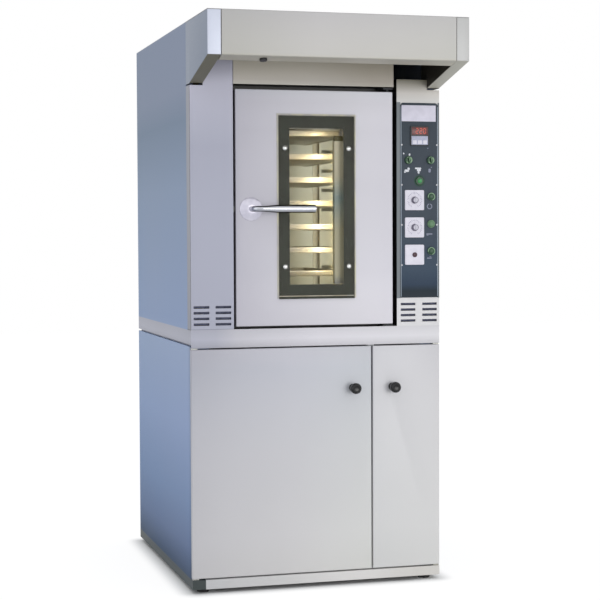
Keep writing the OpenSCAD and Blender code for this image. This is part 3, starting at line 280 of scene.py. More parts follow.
# %% Helpers: sheets that are folded along a path, and turned parts
def folded_sheet(name, run, start, end, path, radius, thickness=1.5):
    """A sheet that runs from start to end along x, y or z and is bent along a path of points.
    The path gives the two other coordinates, in the order x, y, z, in millimetres."""
    def point(r, p):
        return {"x": at(r, p[0], p[1]), "y": at(p[0], r, p[1]), "z": at(p[0], p[1], r)}[run]
    a, b = point(start, path[0]), point(end, path[0])
    along, out = b - a, point(start, path[1]) - a
    turn = Matrix((along.normalized(), out.normalized(), along.cross(out).normalized())).transposed()
    deselect_all()
    bpy.ops.mesh.primitive_plane_add(size=1, location=a + along / 2 + out / 2, rotation=turn.to_euler())
    sheet = named(bpy.context.object, name)
    sheet.scale = (along.length, out.length, 1)
    settle()
    for before, after in zip(path[1:], path[2:]):
        middle = (point(start, before) + point(end, before)) / 2
        pick(sheet, "EDGE", lambda m, d: (m - middle).length < 1e-5)
        draw_out(point(start, after) - point(start, before))
        object_mode()
    folds = [(point(start, p) + point(end, p)) / 2 for p in path[1:-1]]
    round_edges(sheet, lambda m, d: any((m - f).length < 1e-5 for f in folds), radius, 4)
    give_thickness(sheet, thickness)
    return sheet


def turned(name, base, direction, steps, sides=48):
    """A turned part: a disc that is drawn out along a direction, wider and narrower as the steps say.
    Each step is (distance from the base, radius), in millimetres."""
    base, direction = at(*base), Vector(direction).normalized()
    deselect_all()
    reach, radius = steps[0]
    bpy.ops.mesh.primitive_circle_add(vertices=sides, radius=mm(radius), fill_type="NGON",
                                      location=base + direction * mm(reach),
                                      rotation=direction.to_track_quat("Z", "Y").to_euler())
    piece = named(bpy.context.object, name)
    settle()
    edit_mode()
    bpy.ops.mesh.select_mode(type="FACE")
    bpy.ops.mesh.select_all(action="SELECT")
    for distance, wide in steps[1:]:
        draw_out(direction * mm(distance - reach))
        bpy.ops.transform.resize(value=(wide / radius,) * 3,
                                 center_override=base + direction * mm(distance))
        reach, radius = distance, wide
    close_up()
    return piece


print("helpers ready")

# %% [markdown]
# ## Painting surfaces with nodes
# A sheet of satin steel is never one flat colour. Its light and shade are painted in: it is a little
# lighter where it faces the windows of the shop and darker where shade falls. It carries the fine grain
# of its rolling, and hands leave faint cloudy marks. Three groups of nodes do this: a soft run of painted
# light and shade across the piece, slow clouds, and a fine grain that is stretched along the rolling
# direction and only moves the gloss and the bump.

# %% Helpers: nodes
def feed(tree, socket, value):
    """Links a socket to another node's output, or sets it to a plain value."""
    if hasattr(value, "is_linked"):
        tree.links.new(value, socket)
    else:
        socket.default_value = value


def wire(tree, kind, inputs=(), out=0, **settings):
    """Adds a node with its settings, feeds its inputs and returns one of its outputs."""
    node = tree.nodes.new("ShaderNode" + kind)
    for key, value in settings.items():
        setattr(node, key, value)
    for socket, value in dict(inputs).items():
        feed(tree, node.inputs[socket], value)
    return node.outputs[out]


class Finish:
    """A material that is being built, with its node tree and its shader at hand."""

    def __init__(self, name, rough, metal=0.0):
        self.material = bpy.data.materials.new(name)
        self.material.use_nodes = True
        self.tree = self.material.node_tree
        self.shader = self.tree.nodes["Principled BSDF"]
        self.set("Roughness", rough)
        self.set("Metallic", metal)
        self.place = self.add("TexCoord", out="Object")

    def set(self, socket, value):
        feed(self.tree, self.shader.inputs[socket], value)

    def add(self, kind, inputs=(), out=0, **settings):
        return wire(self.tree, kind, inputs, out, **settings)

    def along(self, vector, towards, start, end):
        """0 to 1 along a direction, between two distances."""
        dot = self.add("VectorMath", {0: vector, 1: Vector(towards).normalized()}, "Value",
                       operation="DOT_PRODUCT")
        return self.add("MapRange", {"Value": dot, "From Min": start, "From Max": end}, "Result")

    def run(self, towards, start, end):
        """0 to 1 across the piece, between two distances in metres."""
        return self.along(self.place, towards, start, end)

    def facing(self, towards, low=0.3, high=0.7):
        """1 where the surface faces a direction, 0 where it doesn't."""
        return self.along(self.add("NewGeometry", out="Normal"), towards, low, high)

    def shades(self, towards, colours):
        """Screen colours at places along a direction: each is a distance in metres, red, green and blue."""
        first, last = colours[0][0], colours[-1][0]
        stops = [((place - first) / (last - first), tint(*rgb)) for place, *rgb in colours]
        return self.ramp(self.run(towards, first, last), stops)

    def inside(self, *planes):
        """1 where a place lies beyond every plane: a direction and a distance in metres each."""
        within = 1.0
        for towards, distance in planes:
            step = self.run(towards, distance - mm(0.4), distance + mm(0.4))
            within = self.add("Math", {0: within, 1: step}, operation="MULTIPLY")
        return within

    def noise(self, waves, detail=3.0):
        """Noise with so many waves per metre, either one number or one each for x, y and z."""
        stretch = waves if isinstance(waves, tuple) else (waves,) * 3
        scaled = self.add("Mapping", {"Vector": self.place, "Scale": stretch})
        return self.add("TexNoise", {"Vector": scaled, "Scale": 1.0, "Detail": detail}, "Fac")

    def ramp(self, factor, stops):
        """Colours at places from 0 to 1."""
        colour = self.add("ValToRGB", {"Fac": factor}, "Color")
        points = colour.node.color_ramp.elements
        points[0].position, points[0].color = stops[0]
        points[1].position, points[1].color = stops[-1]
        for place, shade in stops[1:-1]:
            points.new(place).color = shade
        return colour

    def mix(self, factor, one, two, how="MIX"):
        return self.add("MixRGB", {"Fac": factor, "Color1": one, "Color2": two}, "Color", blend_type=how)

    def times(self, one, two):
        return self.mix(1.0, one, two, "MULTIPLY")

    def marked(self, colour, marks, dark, low=0.3, high=0.7, light=WHITE):
        """A colour that a noise darkens in its hollows."""
        self.colour(self.times(colour, self.ramp(marks, [(low, (*dark, 1)), (high, light)])))

    def range(self, factor, low, high):
        return self.add("MapRange", {"Value": factor, "To Min": low, "To Max": high}, "Result")

    def colour(self, value):
        self.set("Base Color", value)

    def gloss(self, factor, low, high):
        self.set("Roughness", self.range(factor, low, high))

    def bump(self, factor, depth, strength=0.3):
        self.set("Normal", self.add("Bump", {"Distance": mm(depth), "Strength": strength, "Height": factor}))

    def grain(self, axis, waves_along, waves_across, gloss, strength):
        """Fine lines along x, y or z that move the gloss and the bump only."""
        lines = self.noise(tuple(waves_along if a == axis else waves_across for a in "xyz"), 4.0)
        self.gloss(lines, *gloss)
        self.bump(lines, 0.04, strength)


def satin_sheet(name, towards, colours, across=None, grain="x", metal=0.15, zones=()):
    """Satin sheet steel: a run of painted light and shade, a second run of painted shade across it, slow
    clouds and a fine grain along x, y or z. A zone is a colour and the planes beyond which it starts;
    most zones are painted shade."""
    f = Finish(name, 0.38, metal)
    base = f.shades(towards, colours)
    if across:
        base = f.times(base, f.shades(*across))
    for paint, *planes in zones:
        base = f.mix(f.inside(*planes), base, tint(*paint))
    f.marked(base, f.noise((2.2, 2.2, 1.4), 2.0), (0.965,) * 3, light=(1.0105,) * 3 + (1,))
    f.grain(grain, 12, 900, (0.32, 0.46), 0.25)
    return f.material


print("node helpers ready")

# %% [markdown]
# ## The painted and the bare steel
# The fronts are satin sheets with their light and shade painted in: a little lighter towards the right,
# where the light comes from, and darker under the hood, on faces turned away and in the recesses. The
# panel over the door is painted in the warm shade of the hood. All fronts could share one finish, but
# then the doors would not part from the columns as they do on the real oven, so each group of sheets
# gets its own run of painted light and shade.

# %% Sheet finishes
# The folded returns more than 2 mm behind the front are painted near black: painted shade in the recesses
# round the oven door.
RECESS = (BACK, at(0, 2, 0).y)
FRONT_FACE = (OUT, -at(0, 2, 0).y)
RECESS_PAINTED_SHADE = (20, 19, 20)

# Painted light and shade: darkest at mid height, lighter at the foot, painted lighter at the head against the
# hood's shade, and lighter towards the right.
door_steel = satin_sheet(
    "door steel", UP,
    [(0.957, 219, 216, 223), (1.15, 205, 203, 211), (1.45, 198, 196, 204), (1.66, 202, 200, 208),
     (1.76, 217, 215, 223), (1.806, 232, 232, 239)],
    (RIGHT, [(-0.304, 221, 221, 225), (0.1, 247, 248, 247), (0.288, 255, 255, 255)]), "z")
# Painted light and shade: darker towards the top, in the shade of the hood, and lighter towards the right.
wide_door_steel = satin_sheet(
    "wide cabinet door steel", UP,
    [(0.054, 221, 221, 217), (0.2, 220, 220, 218), (0.5, 205, 206, 207), (0.8, 184, 187, 193),
     (0.877, 184, 185, 191)],
    (RIGHT, [(-0.47, 234, 232, 238), (-0.1, 250, 248, 252), (0.2, 255, 255, 255)]), "z")
# Painted light and shade: darker towards the top, in the shade of the hood, and lighter towards the right.
narrow_door_steel = satin_sheet(
    "narrow cabinet door steel", UP, [(0.054, 223, 222, 220), (0.2, 222, 221, 220), (0.877, 195, 194, 198)],
    (RIGHT, [(0.21, 250, 251, 252), (0.47, 255, 255, 255)]), "z")
# Painted light and shade: darker towards the left end and the lower edge, lighter towards the right; the
# flange in the recess is painted shade.
band_steel = satin_sheet(
    "base band steel", RIGHT,
    [(-0.47, 169, 170, 184), (-0.38, 169, 170, 183), (-0.3, 186, 185, 193), (0.0, 207, 205, 212),
     (0.47, 211, 210, 214)],
    (UP, [(0.882, 229, 229, 229), (0.912, 255, 255, 255), (0.948, 240, 240, 240)]),
    zones=[(RECESS_PAINTED_SHADE, RECESS, (UP, 0.9464))])
# Painted shade: the outer side face is painted darker, darkest near the front, and the return beside the door
# near black; the strip at the foot is a dark seam.
left_column_steel = satin_sheet(
    "left column steel", UP, [(0.95, 158, 160, 176), (1.6, 156, 158, 174), (1.82, 178, 178, 194)], grain="z",
    zones=[((132, 134, 146), (LEFT, 0.4693)), ((96, 98, 108), (LEFT, 0.4693), (OUT, -at(0, 9, 0).y)),
           ((120, 122, 134), (DOWN, -0.9496)), (RECESS_PAINTED_SHADE, RECESS, (RIGHT, -0.3147))])
# Painted shade: darker towards the top under the hood, on the strips either side of the control panel, and
# near black on the return beside the door.
right_column_steel = satin_sheet(
    "right column steel", UP,
    [(0.948, 207, 206, 208), (1.77, 200, 199, 197), (1.803, 194, 190, 185), (1.822, 165, 161, 153),
     (1.853, 108, 104, 88)], grain="z",
    zones=[((106, 113, 118), (LEFT, -0.3184), (UP, 1.05), (DOWN, -1.77)),
           ((88, 96, 102), (RIGHT, 0.4636), FRONT_FACE, (UP, 1.05), (DOWN, -1.77)),
           (RECESS_PAINTED_SHADE, RECESS, (LEFT, -0.3057))])
# Painted shade: the warm shade under the hood, darker towards the right, and its flange in the recess near
# black.
header_steel = satin_sheet(
    "header steel", UP, [(1.825, 179, 176, 171), (1.84, 173, 168, 162), (1.9, 190, 184, 172)],
    (RIGHT, [(-0.31, 255, 255, 252), (0.0, 253, 253, 250), (0.2, 237, 234, 227)]), metal=0.2,
    zones=[(RECESS_PAINTED_SHADE, RECESS, (DOWN, -1.8256))])
# Painted light and shade: warmer at the rim along its lower edge and darker at the left end.
fascia_steel = satin_sheet(
    "hood steel", UP, [(1.878, 188, 182, 168), (1.9, 181, 179, 176), (2.045, 180, 178, 180)],
    (RIGHT, [(-0.42, 237, 238, 234), (-0.08, 255, 255, 254), (0.42, 252, 253, 249)]))
# Painted light and shade: lightest right of the middle, and its left side face painted dark in shade.
plinth_steel = satin_sheet(
    "plinth steel", RIGHT, [(-0.4, 197, 197, 198), (0.17, 224, 222, 220), (0.4, 214, 211, 206)],
    zones=[((58, 66, 66), (LEFT, 0.4215))])


# %% [markdown]
# ## The blue-grey sides
# The two side panels are the largest surfaces. On the real oven they are enamelled in a blue-grey, and
# painted shade makes it darkest near the floor. A faint orange-peel bump is what tells enamel from bare
# steel.

# %% Side enamel
f = Finish("side enamel", 0.36)
f.set("Specular IOR Level", 0.03)
# Painted shade: the run up the side changes with height and is darkest near the floor, and the run from front
# to back darkens the front edge.
base = f.times(
    f.shades(UP, [(0.06, 74, 92, 119), (0.16, 107, 127, 164), (0.32, 125, 149, 188), (0.6, 150, 170, 208),
                  (0.88, 157, 175, 207), (0.97, 142, 162, 198), (1.45, 137, 155, 183), (1.7, 118, 136, 160),
                  (1.81, 132, 144, 168)]),
    f.shades(BACK, [(-FRONT, 232, 230, 228), (-0.33, 255, 253, 251), (0.7, 246, 248, 247)]))
clouds = f.noise((1.6, 1.6, 0.9), 2.0)
f.marked(base, clouds, (0.95, 0.95, 0.96))
f.gloss(clouds, 0.3, 0.42)
f.bump(f.noise(350, 2.0), 0.05, 0.2)
side_paint = f.material
print("side enamel ready")

# %% [markdown]
# ## Galvanised sheet
# Back, roof and the inside of the cabinet are galvanised. Zinc cools in flat crystals, called spangle,
# and each crystal reflects a little differently. A Voronoi texture gives cells of one grey each.

# %% Galvanised sheet
def galvanised_sheet(name, light, cells_per_metre):
    f = Finish(name, 0.42, 0.55)
    scaled = f.add("Mapping", {"Vector": f.place, "Scale": (cells_per_metre,) * 3})
    cells = f.add("TexVoronoi", {"Vector": scaled, "Scale": 1.0}, "Color")
    grey = f.add("RGBToBW", {"Color": cells})
    dark = tuple(c * 0.82 for c in light[:3]) + (1,)
    f.colour(f.ramp(grey, [(0.1, dark), (0.9, light)]))
    f.gloss(grey, 0.34, 0.52)
    f.bump(f.noise(60), 0.08, 0.15)
    return f.material


galvanised = galvanised_sheet("galvanised sheet", tint(196, 198, 200), 55.0)
cabinet_galvanised = galvanised_sheet("galvanised cabinet sheet", tint(188, 190, 193), 70.0)

# %% [markdown]
# ## Stainless steel inside the chamber
# The chamber is bare stainless steel. After some weeks of baking it has a straw tint that is strongest
# near the ceiling and in the corners; the finish spreads it in slow random patches. Brushing lines run
# sideways along the walls.

# %% Chamber steel, polished steel and zinc
def brushed_steel(name, clean, heated, grain, rough=0.33, metal=0.85, dark=None):
    """Brushed steel with heat tints; dark names a direction and the two distances between which it
    turns to near black, painted shade in the door recess."""
    f = Finish(name, rough, metal)
    steel = f.ramp(f.noise(3.5), [(0.32, tint(*clean)), (0.72, tint(*heated))])
    if dark:
        painted = f.run(*dark)
        steel = f.mix(painted, steel, tint(26, 25, 26))
        f.set("Metallic", f.range(painted, metal, 0.0))
    f.colour(steel)
    f.grain(grain, 10, 700, (rough - 0.07, rough + 0.12), 0.35)
    return f.material


# The liner's front, in front of 79 mm, is painted near black: painted shade in the gap round the door.
chamber_steel = brushed_steel("chamber steel", (238, 238, 230), (230, 222, 196), "y", 0.36, 0.2,
                              (OUT, -at(0, 81, 0).y, -at(0, 79, 0).y))
inner_door_steel = brushed_steel("inner door steel", (206, 205, 200), (190, 178, 150), "z")
rack_steel = brushed_steel("rack steel", (200, 197, 186), (176, 160, 124), "z", 0.4, 0.7)
fan_steel = brushed_steel("fan steel", (190, 190, 188), (150, 135, 105), "x", 0.42, 0.8)
zinc_plate = brushed_steel("zinc plate", (196, 198, 196), (176, 174, 160), "x", 0.4, 0.75)
# Hinge brackets and latch keeper: zinc painted dark, as painted shade where they sit.
shaded_zinc = brushed_steel("zinc in painted shade", (58, 58, 62), (40, 40, 44), "x", 0.5, 0.4)


# %% [markdown]
# ## Small finishes
# Black plastic, painted motors, mineral wool, silicone and the heat-blued heater tubes each differ in
# gloss and in the size of their bumps more than in colour. One function mixes two close colours with a
# noise and sets gloss and bump from the same noise. Wool gets stretched fibres.

# %% Moulded, painted and soft finishes
def flecked(name, one, two, waves, rough, metal=0.0, depth=0.1, strength=0.3):
    f = Finish(name, sum(rough) / 2, metal)
    flecks = f.noise(waves)
    f.colour(f.ramp(flecks, [(0.35, tint(*one)), (0.65, tint(*two))]))
    f.gloss(flecks, *rough)
    f.bump(flecks, depth, strength)
    return f.material


black_plastic = flecked("black plastic", (22, 22, 24), (34, 34, 36), 420, (0.38, 0.5), depth=0.06)
knob_black = flecked("knob black", (12, 12, 13), (22, 22, 24), 260, (0.16, 0.26), depth=0.02)
feet_rubber = flecked("feet rubber", (28, 28, 30), (46, 45, 45), 300, (0.7, 0.85), depth=0.15)
gasket_silicone = flecked("gasket silicone", (24, 23, 23), (40, 38, 36), 240, (0.55, 0.7))
motor_enamel = flecked("hammered motor enamel", (70, 92, 118), (98, 120, 142), 190, (0.25, 0.45),
                       0.3, 0.4, 0.6)
blued_tube = flecked("blued heater tube", (92, 84, 82), (70, 74, 92), 60, (0.4, 0.6), 0.7)
mineral_wool = flecked("mineral wool", (206, 190, 128), (170, 150, 88), (90, 400, 90), (0.9, 1.0),
                       depth=2.5, strength=0.8)
tray_steel = brushed_steel("aluminised tray", (226, 222, 208), (204, 190, 156), "y", 0.34, 0.45)
print("finishes:", len(bpy.data.materials))

# %% Dress the nodes whose shape stays
stays = {
    side_paint: "cabinet_left_side cabinet_right_side oven_left_side oven_right_side",
    galvanised: "cabinet_back oven_back oven_roof vapour_pipe",
    cabinet_galvanised: "cabinet_floor cabinet_partition",
    plinth_steel: "cabinet_plinth", band_steel: "oven_base_frame", header_steel: "header_panel",
    left_column_steel: "left_column", right_column_steel: "right_column",
    chamber_steel: "chamber_liner air_baffle", inner_door_steel: "door_inner_skin",
    rack_steel: "rack_frame tray_rails", tray_steel: "trays", fan_steel: "fan_wheel",
    zinc_plate: "cabinet_hinges latch_cam rack_shaft floor_bearing",
    shaded_zinc: "door_hinge_brackets latch_keeper",
    black_plastic: "magnetic_catches hood_switch cable_gland",
    feet_rubber: "levelling_feet", gasket_silicone: "door_gasket",
    motor_enamel: "fan_motor rack_gearmotor", blued_tube: "heating_elements",
    mineral_wool: "insulation door_insulation",
}
dressed = [(nodes[name], finish) for finish, names in stays.items() for name in names.split()]
for node, finish in dressed:
    node.data.materials[0] = finish
print("dressed:", len(dressed))

# %% [markdown]
# ## The hood
# The hood is three folded parts: a fascia whose lower edge turns back into a sloping rim and then up
# into a stiffening lip, and a box arm at either side. A folded sheet is made the way the folding bench
# makes it, one fold after the other. Each fold is rounded before the sheet gets its thickness, so the
# bend keeps an even wall. Small gaps are left where the arms meet the fascia: they read as dark seams.

# %% Fascia, rim and top sheet
RIM_SQUARE = (0, 0.224145, 0.974556)
fascia = folded_sheet("hood_fascia", "x", -420.6, 421.5,
                      [(-246, 1892.6), (-246, 1878.6), (-300, 1891), (-300, 2043.3)], 3.0)
bore(fascia, (-269, -270, 1884.1), RIM_SQUARE, 30, 27)
top_sheet = block("top_sheet", (-470, -300, 2043.5), (470, 60, 2045), 0.6)
hand_over(join("hood_canopy_skin", [fascia, top_sheet]), fascia_steel, "grey_paint", "oven", "hood_canopy")

# %% The two arms
ARM_LOW, FRONT_RISE = 1822, 69


def hood_arm(name, x0, x1):
    arm = block(name, (x0, -300, ARM_LOW), (x1, 60, 2043.5))
    slice_at(arm, at(0, 0, 0), BACK)
    front_y, low_z = at(0, -300, 0).y, mm(ARM_LOW)
    pick(arm, "EDGE", lambda m, d: abs(m.y - front_y) < 1e-4 and abs(m.z - low_z) < 1e-4)
    bpy.ops.transform.translate(value=(0, 0, mm(FRONT_RISE)))
    object_mode()
    open_from = at(0, -4, 0)
    slice_at(arm, open_from, BACK)
    drop_faces(arm, lambda m, n: n.y > 0.9 or (n.z < -0.5 and m.y > open_from.y))
    soften(arm, 3.0, 4)
    give_thickness(arm)
    return arm


left_arm = hood_arm("hood_left_arm_skin", -470, -422)
right_arm = hood_arm("hood_right_arm_skin", 422, 470)
print("arms:", left_arm.name, right_arm.name)

# %% [markdown]
# ## Finishes that follow the faces
# The arms carry painted light, shade and reflection. The left arm is painted bright in front, blue-grey
# in shade on its long side and olive underneath, as a painted reflection of the warm floor of the shop;
# the right arm is painted near black on its inner side, in the shade of the hood. A sheet is one metal
# all over, so its finish can look at the direction in which a surface faces (its normal) and choose the
# tone from that. The tone stays put when the camera moves.

# %% Arms, with a tone for each direction
def arm_finish(name, front, outside, inside, under, inner_way):
    f = Finish(name, 0.38, 0.15)
    colour = f.mix(f.facing(OUT), tint(*outside), tint(*front))
    colour = f.mix(f.facing(inner_way), colour, tint(*inside))
    colour = f.mix(f.facing(DOWN), colour, tint(*under))
    f.marked(colour, f.noise((2.5, 2.5, 2.0), 2.0), (0.96,) * 3)
    f.grain("y", 12, 900, (0.32, 0.46), 0.25)
    return f.material


# Painted light, shade and reflection: tones for the front, the outer side, the inner side and the underside.
left_arm_steel = arm_finish("left arm steel", (206, 211, 226), (119, 130, 149), (120, 118, 108),
                            (106, 103, 86), RIGHT)
right_arm_steel = arm_finish("right arm steel", (188, 188, 187), (140, 150, 166), (30, 27, 20),
                             (186, 184, 172), LEFT)
hand_over(left_arm, left_arm_steel, "grey_paint", "oven", "hood_left_arm")
hand_over(right_arm, right_arm_steel, "grey_paint", "oven", "hood_right_arm")

# %% [markdown]
# ## Doors folded from one sheet
# All three doors are pans: a front, four sides folded back and a narrow lip all round at the back. A
# box gives the outline, its front edges are rounded, the back face is inset by the width of the lip
# and its middle is taken out. Thickness comes last, and the holes for pins and knobs after that.

# %% Door pans
LIP = 12


def door_pan(name, low, high):
    pan = block(name, low, high)
    pick(pan, "FACE", lambda m, n: n.y > 0.9)
    bpy.ops.mesh.inset(thickness=mm(LIP), depth=0)
    bpy.ops.mesh.delete(type="FACE")
    object_mode()
    back_y = at(*high).y
    round_edges(pan, lambda m, d: m.y < back_y - 1e-4, 2.5, 4)
    return pan


def hinge_block(name, low, high, pin, dia):
    """A solid corner block, bored upright for a pin at x and y."""
    piece = block(name, low, high, 0.8)
    bore(piece, (*pin, (low[2] + high[2]) / 2), UP, 90, dia)
    return piece


# %% The two cabinet doors
DOOR_FOOT, DOOR_HEAD, PIN_Y = 54, 877, 13
KNOB_Z, WIDE_KNOB_X, NARROW_KNOB_X = 725, 133, 285


def cabinet_door(name, x0, x1, pin_x, knob_x):
    door = door_pan(name, (x0, 0, DOOR_FOOT), (x1, 20, DOOR_HEAD))
    give_thickness(door)
    for z in (DOOR_FOOT, DOOR_HEAD):
        bore(door, (pin_x, PIN_Y, z), UP, 20, 6.4)
    bore(door, (knob_x, 0, KNOB_Z), BACK, 12, 8.4)
    blocks = [hinge_block("hinge_block", (pin_x - 6.4, 1.6, z), (pin_x + 6.4, 19.8, z + 16),
                          (pin_x, PIN_Y), 6.4) for z in (55.6, 859.4)]
    return join(name, [door] + blocks)


hand_over(cabinet_door("wide_door_skin", -470, 204, -462, WIDE_KNOB_X), wide_door_steel, "grey_paint",
          "wide_door", "wide_cabinet_door")
hand_over(cabinet_door("narrow_door_skin", 210, 470, 462, NARROW_KNOB_X), narrow_door_steel, "grey_paint",
          "narrow_door", "narrow_cabinet_door")

# %% The oven door with its window opening
BOLTS = [(x, z) for x in (-123.25, 116.75) for z in (1170, 1597)]
LEVER_X, LEVER_Z = -247.5, 1378
OVEN_DOOR_FOOT, OVEN_DOOR_HEAD, PIN = 957, 1806, (271, 12)

oven_door = door_pan("oven_door_skin", (-304, 0, OVEN_DOOR_FOOT), (288, 40, OVEN_DOOR_HEAD))
view_low, view_high = at(-108, 0, 1102), at(101.5, 0, 1672.5)
for corner, way in ((view_low, RIGHT), (view_high, RIGHT), (view_low, UP), (view_high, UP)):
    slice_at(oven_door, corner, way)
drop_faces(oven_door, lambda m, n: n.y < -0.9 and view_low.x < m.x < view_high.x
           and view_low.z < m.z < view_high.z)
give_thickness(oven_door)
for z in (OVEN_DOOR_FOOT, OVEN_DOOR_HEAD):
    bore(oven_door, (*PIN, z), UP, 20, 10.6)
bore(oven_door, (LEVER_X, 0, LEVER_Z), BACK, 12, 22)
cut_away(oven_door, block("latch_slot", (-310, 23, 1366), (-298, 37, 1426)))
for x, z in BOLTS:
    bore(oven_door, (x, 0, z), BACK, 12, 8.6)
blocks = [hinge_block("hinge_block", (258.4, 1.6, z), (283.8, 23.8, z + 26), PIN, 10.4)
          for z in (958.6, 1778.4)]
oven_door = join("oven_door_skin", [oven_door] + blocks)
hand_over(oven_door, door_steel, "grey_paint", "oven_door", "door_outer_skin")

# %% [markdown]
# ## The window
# The outer pane stands on bushes a little in front of the door. Its border is printed dark from
# behind, and stops a few millimetres before the edge. A cream strip there is a painted highlight of
# the lit glass edge, and a dark strip under the pane's foot is a painted shadow. A pane of real glass
# could be traced through with refraction, which is slow and grainy. A clear, glossy coat with low
# opacity looks the same from outside and lets the lamp light through at once.

# %% Glass, print and tape finishes
def pane_finish(name, colour, opacity):
    f = Finish(name, 0.03)
    smear = f.noise((7, 7, 3))
    f.colour(f.ramp(smear, [(0.3, colour), (0.7, tuple(c * 1.25 for c in colour[:3]) + (1,))]))
    f.set("Alpha", f.range(smear, opacity * 0.8, opacity * 1.2))
    f.gloss(smear, 0.03, 0.08)
    f.set("IOR", 1.5)
    f.set("Specular IOR Level", 0.15)
    return f.material


outer_pane_glass = pane_finish("outer pane glass", tint(34, 38, 30), 0.08)
inner_pane_glass = pane_finish("inner pane glass", tint(120, 112, 84), 0.05)
pane_edge = flecked("pane edge", (86, 74, 48), (52, 46, 32), (120, 120, 30), (0.15, 0.3))
border_print = flecked("border print", (44, 44, 30), (54, 57, 45), (14, 14, 9), (0.5, 0.6), depth=0.02)
edge_highlight_paint = flecked("edge highlight paint", (214, 210, 184), (190, 187, 184), (26, 26, 14), (0.5, 0.65))
lower_edge_highlight = flecked("lower edge highlight", (226, 216, 196), (190, 178, 152), 20, (0.5, 0.65))

# %% The outer pane
pane = block("outer_pane", (-146, -8, 1053), (139.5, -2, 1714.5), 0.7)
for x, z in BOLTS:
    bore(pane, (x, -5, z), BACK, 12, 8.6)
pane.data.materials.clear()
for finish in (outer_pane_glass, pane_edge):
    pane.data.materials.append(finish)
for face in pane.data.polygons:
    x, z = face.center.x, face.center.z
    face.material_index = int(x < mm(-145.9) or x > mm(139.4) or z < mm(1053.1) or z > mm(1714.4))
hand_over(pane, None, "outer_glass", "oven_door", "window_outer_glass")
nodes["window_inner_glass"].data.materials[0] = inner_pane_glass


# %% Printed border, painted edge highlight and painted shadow
def flat_frame(name, outer, inner, y0, y1):
    """A thin frame between two rectangles, each given as x0, z0, x1, z1."""
    sheet = block(name, (outer[0], y0, outer[1]), (outer[2], y1, outer[3]))
    cut_away(sheet, block("opening", (inner[0], y0 - 5, inner[1]), (inner[2], y1 + 5, inner[3])))
    for x, z in BOLTS:
        bore(sheet, (x, y0, z), BACK, 10, 14.4)
    return sheet


border = flat_frame("printed_border", (-145.4, 1065.2, 138.9, 1713.9), (-105, 1105, 98.5, 1669.5),
                    -1.95, -1.6)
# The foot of the border is a painted shadow under the pane's lower edge.
foot = block("border_foot", (-145.4, -1.95, 1053.6), (138.9, -1.6, 1062))
hand_over(join("printed_border", [border, foot]), border_print, "outer_glass", "oven_door")
# A painted highlight along the pane's lower edge.
line = block("lower_edge_highlight_line", (-144, -1.95, 1062.1), (112, -1.6, 1065.1))
hand_over(line, lower_edge_highlight, "outer_glass", "oven_door")
# A cream frame behind the pane's edges: a painted highlight of the lit glass edge.
tape = flat_frame("edge_highlight_strip", (-152, 1056, 146, 1721), (-138, 1066, 131, 1706), -1.55, -0.05)
soften(tape, 0.4)
hand_over(tape, edge_highlight_paint, "outer_glass", "oven_door")

# %% [markdown]
# ## Domed bolts
# Four polished bolts hold the pane. Each head is turned: a disc drawn outward step by step, a little
# narrower each time, until it closes in a low dome. A thin washer carries it.

# %% Window bolts
def polished_metal(name, bright, edge):
    """Polished plating with a painted reflection: dark where it turns up or down, bright where it faces the
    room.
    """
    f = Finish(name, 0.12, 1.0)
    level = f.add("Math", {0: f.facing(UP, 0.5, 0.75), 1: f.facing(DOWN, 0.6, 0.85)}, operation="MAXIMUM")
    scuffs = f.noise(140)
    f.marked(f.mix(level, tint(*bright), tint(*edge)), scuffs, (0.93, 0.93, 0.94), 0.35, 0.6)
    f.gloss(scuffs, 0.08, 0.2)
    return f.material


# Both plated finishes carry a painted reflection: dark where the faces turn up or down.
chrome = polished_metal("chrome plate", (204, 206, 213), (48, 46, 50))
bolt_chrome = polished_metal("bolt chrome", (240, 240, 238), (150, 150, 148))
bolts = []
for x, z in BOLTS:
    bolts += [turned("bolt", (x, -8.05, z), OUT, [(0, 8.5), (0.6, 8.5), (0.8, 7.9), (1.6, 7.6), (2.8, 6.6),
                                                  (3.9, 4.8), (4.6, 2.7), (4.95, 0.8)], 32),
              turned("shank", (x, -8.05, z), BACK, [(-0.1, 4), (9.6, 4), (9.6, 7), (13.5, 7)], 24),
              turned("bush", (x, -1.9, z), BACK, [(0, 7), (1.85, 7)], 24)]
hand_over(join("window_bolt_heads", bolts), bolt_chrome, "chrome", "oven_door", "window_bolts")

# %% [markdown]
# ## The lamp in the door
# A strip lamp stands upright beside the window, inside the door, and lights the trays through the
# inner pane. Its housing faces the cook and its opal tube faces the chamber, so the cook is not
# dazzled. The housing is a folded channel, the tube a block whose long edges are rounded until it is
# nearly round.

# %% Lamp strip
f = Finish("lamp housing", 0.4, 0.1)
# The run up the housing is painted light and shade: darker at the foot and in a greenish band near 1.42 m,
# lightest at the top.
f.colour(f.shades(UP, [(1.106, 150, 152, 146), (1.14, 196, 190, 160), (1.3, 190, 184, 152),
                       (1.42, 140, 156, 150), (1.5, 204, 197, 168), (1.626, 218, 210, 178)]))
f.bump(f.noise((300, 300, 30)), 0.04, 0.2)
lamp_housing_paint_and_shade = f.material
f = Finish("opal tube", 0.35)
tube_end, tube_middle = (1.0, 0.90, 0.66, 1), (1.0, 0.93, 0.74, 1)
glow = f.ramp(f.run(UP, 1.13, 1.6), [(0, tube_end), (0.5, tube_middle), (1, tube_end)])
f.colour(glow)
f.set("Emission Color", glow)
f.set("Emission Strength", 24.0)
opal_tube = f.material
brown_ceramic = flecked("brown ceramic", (118, 108, 62), (92, 86, 52), 180, (0.45, 0.6))

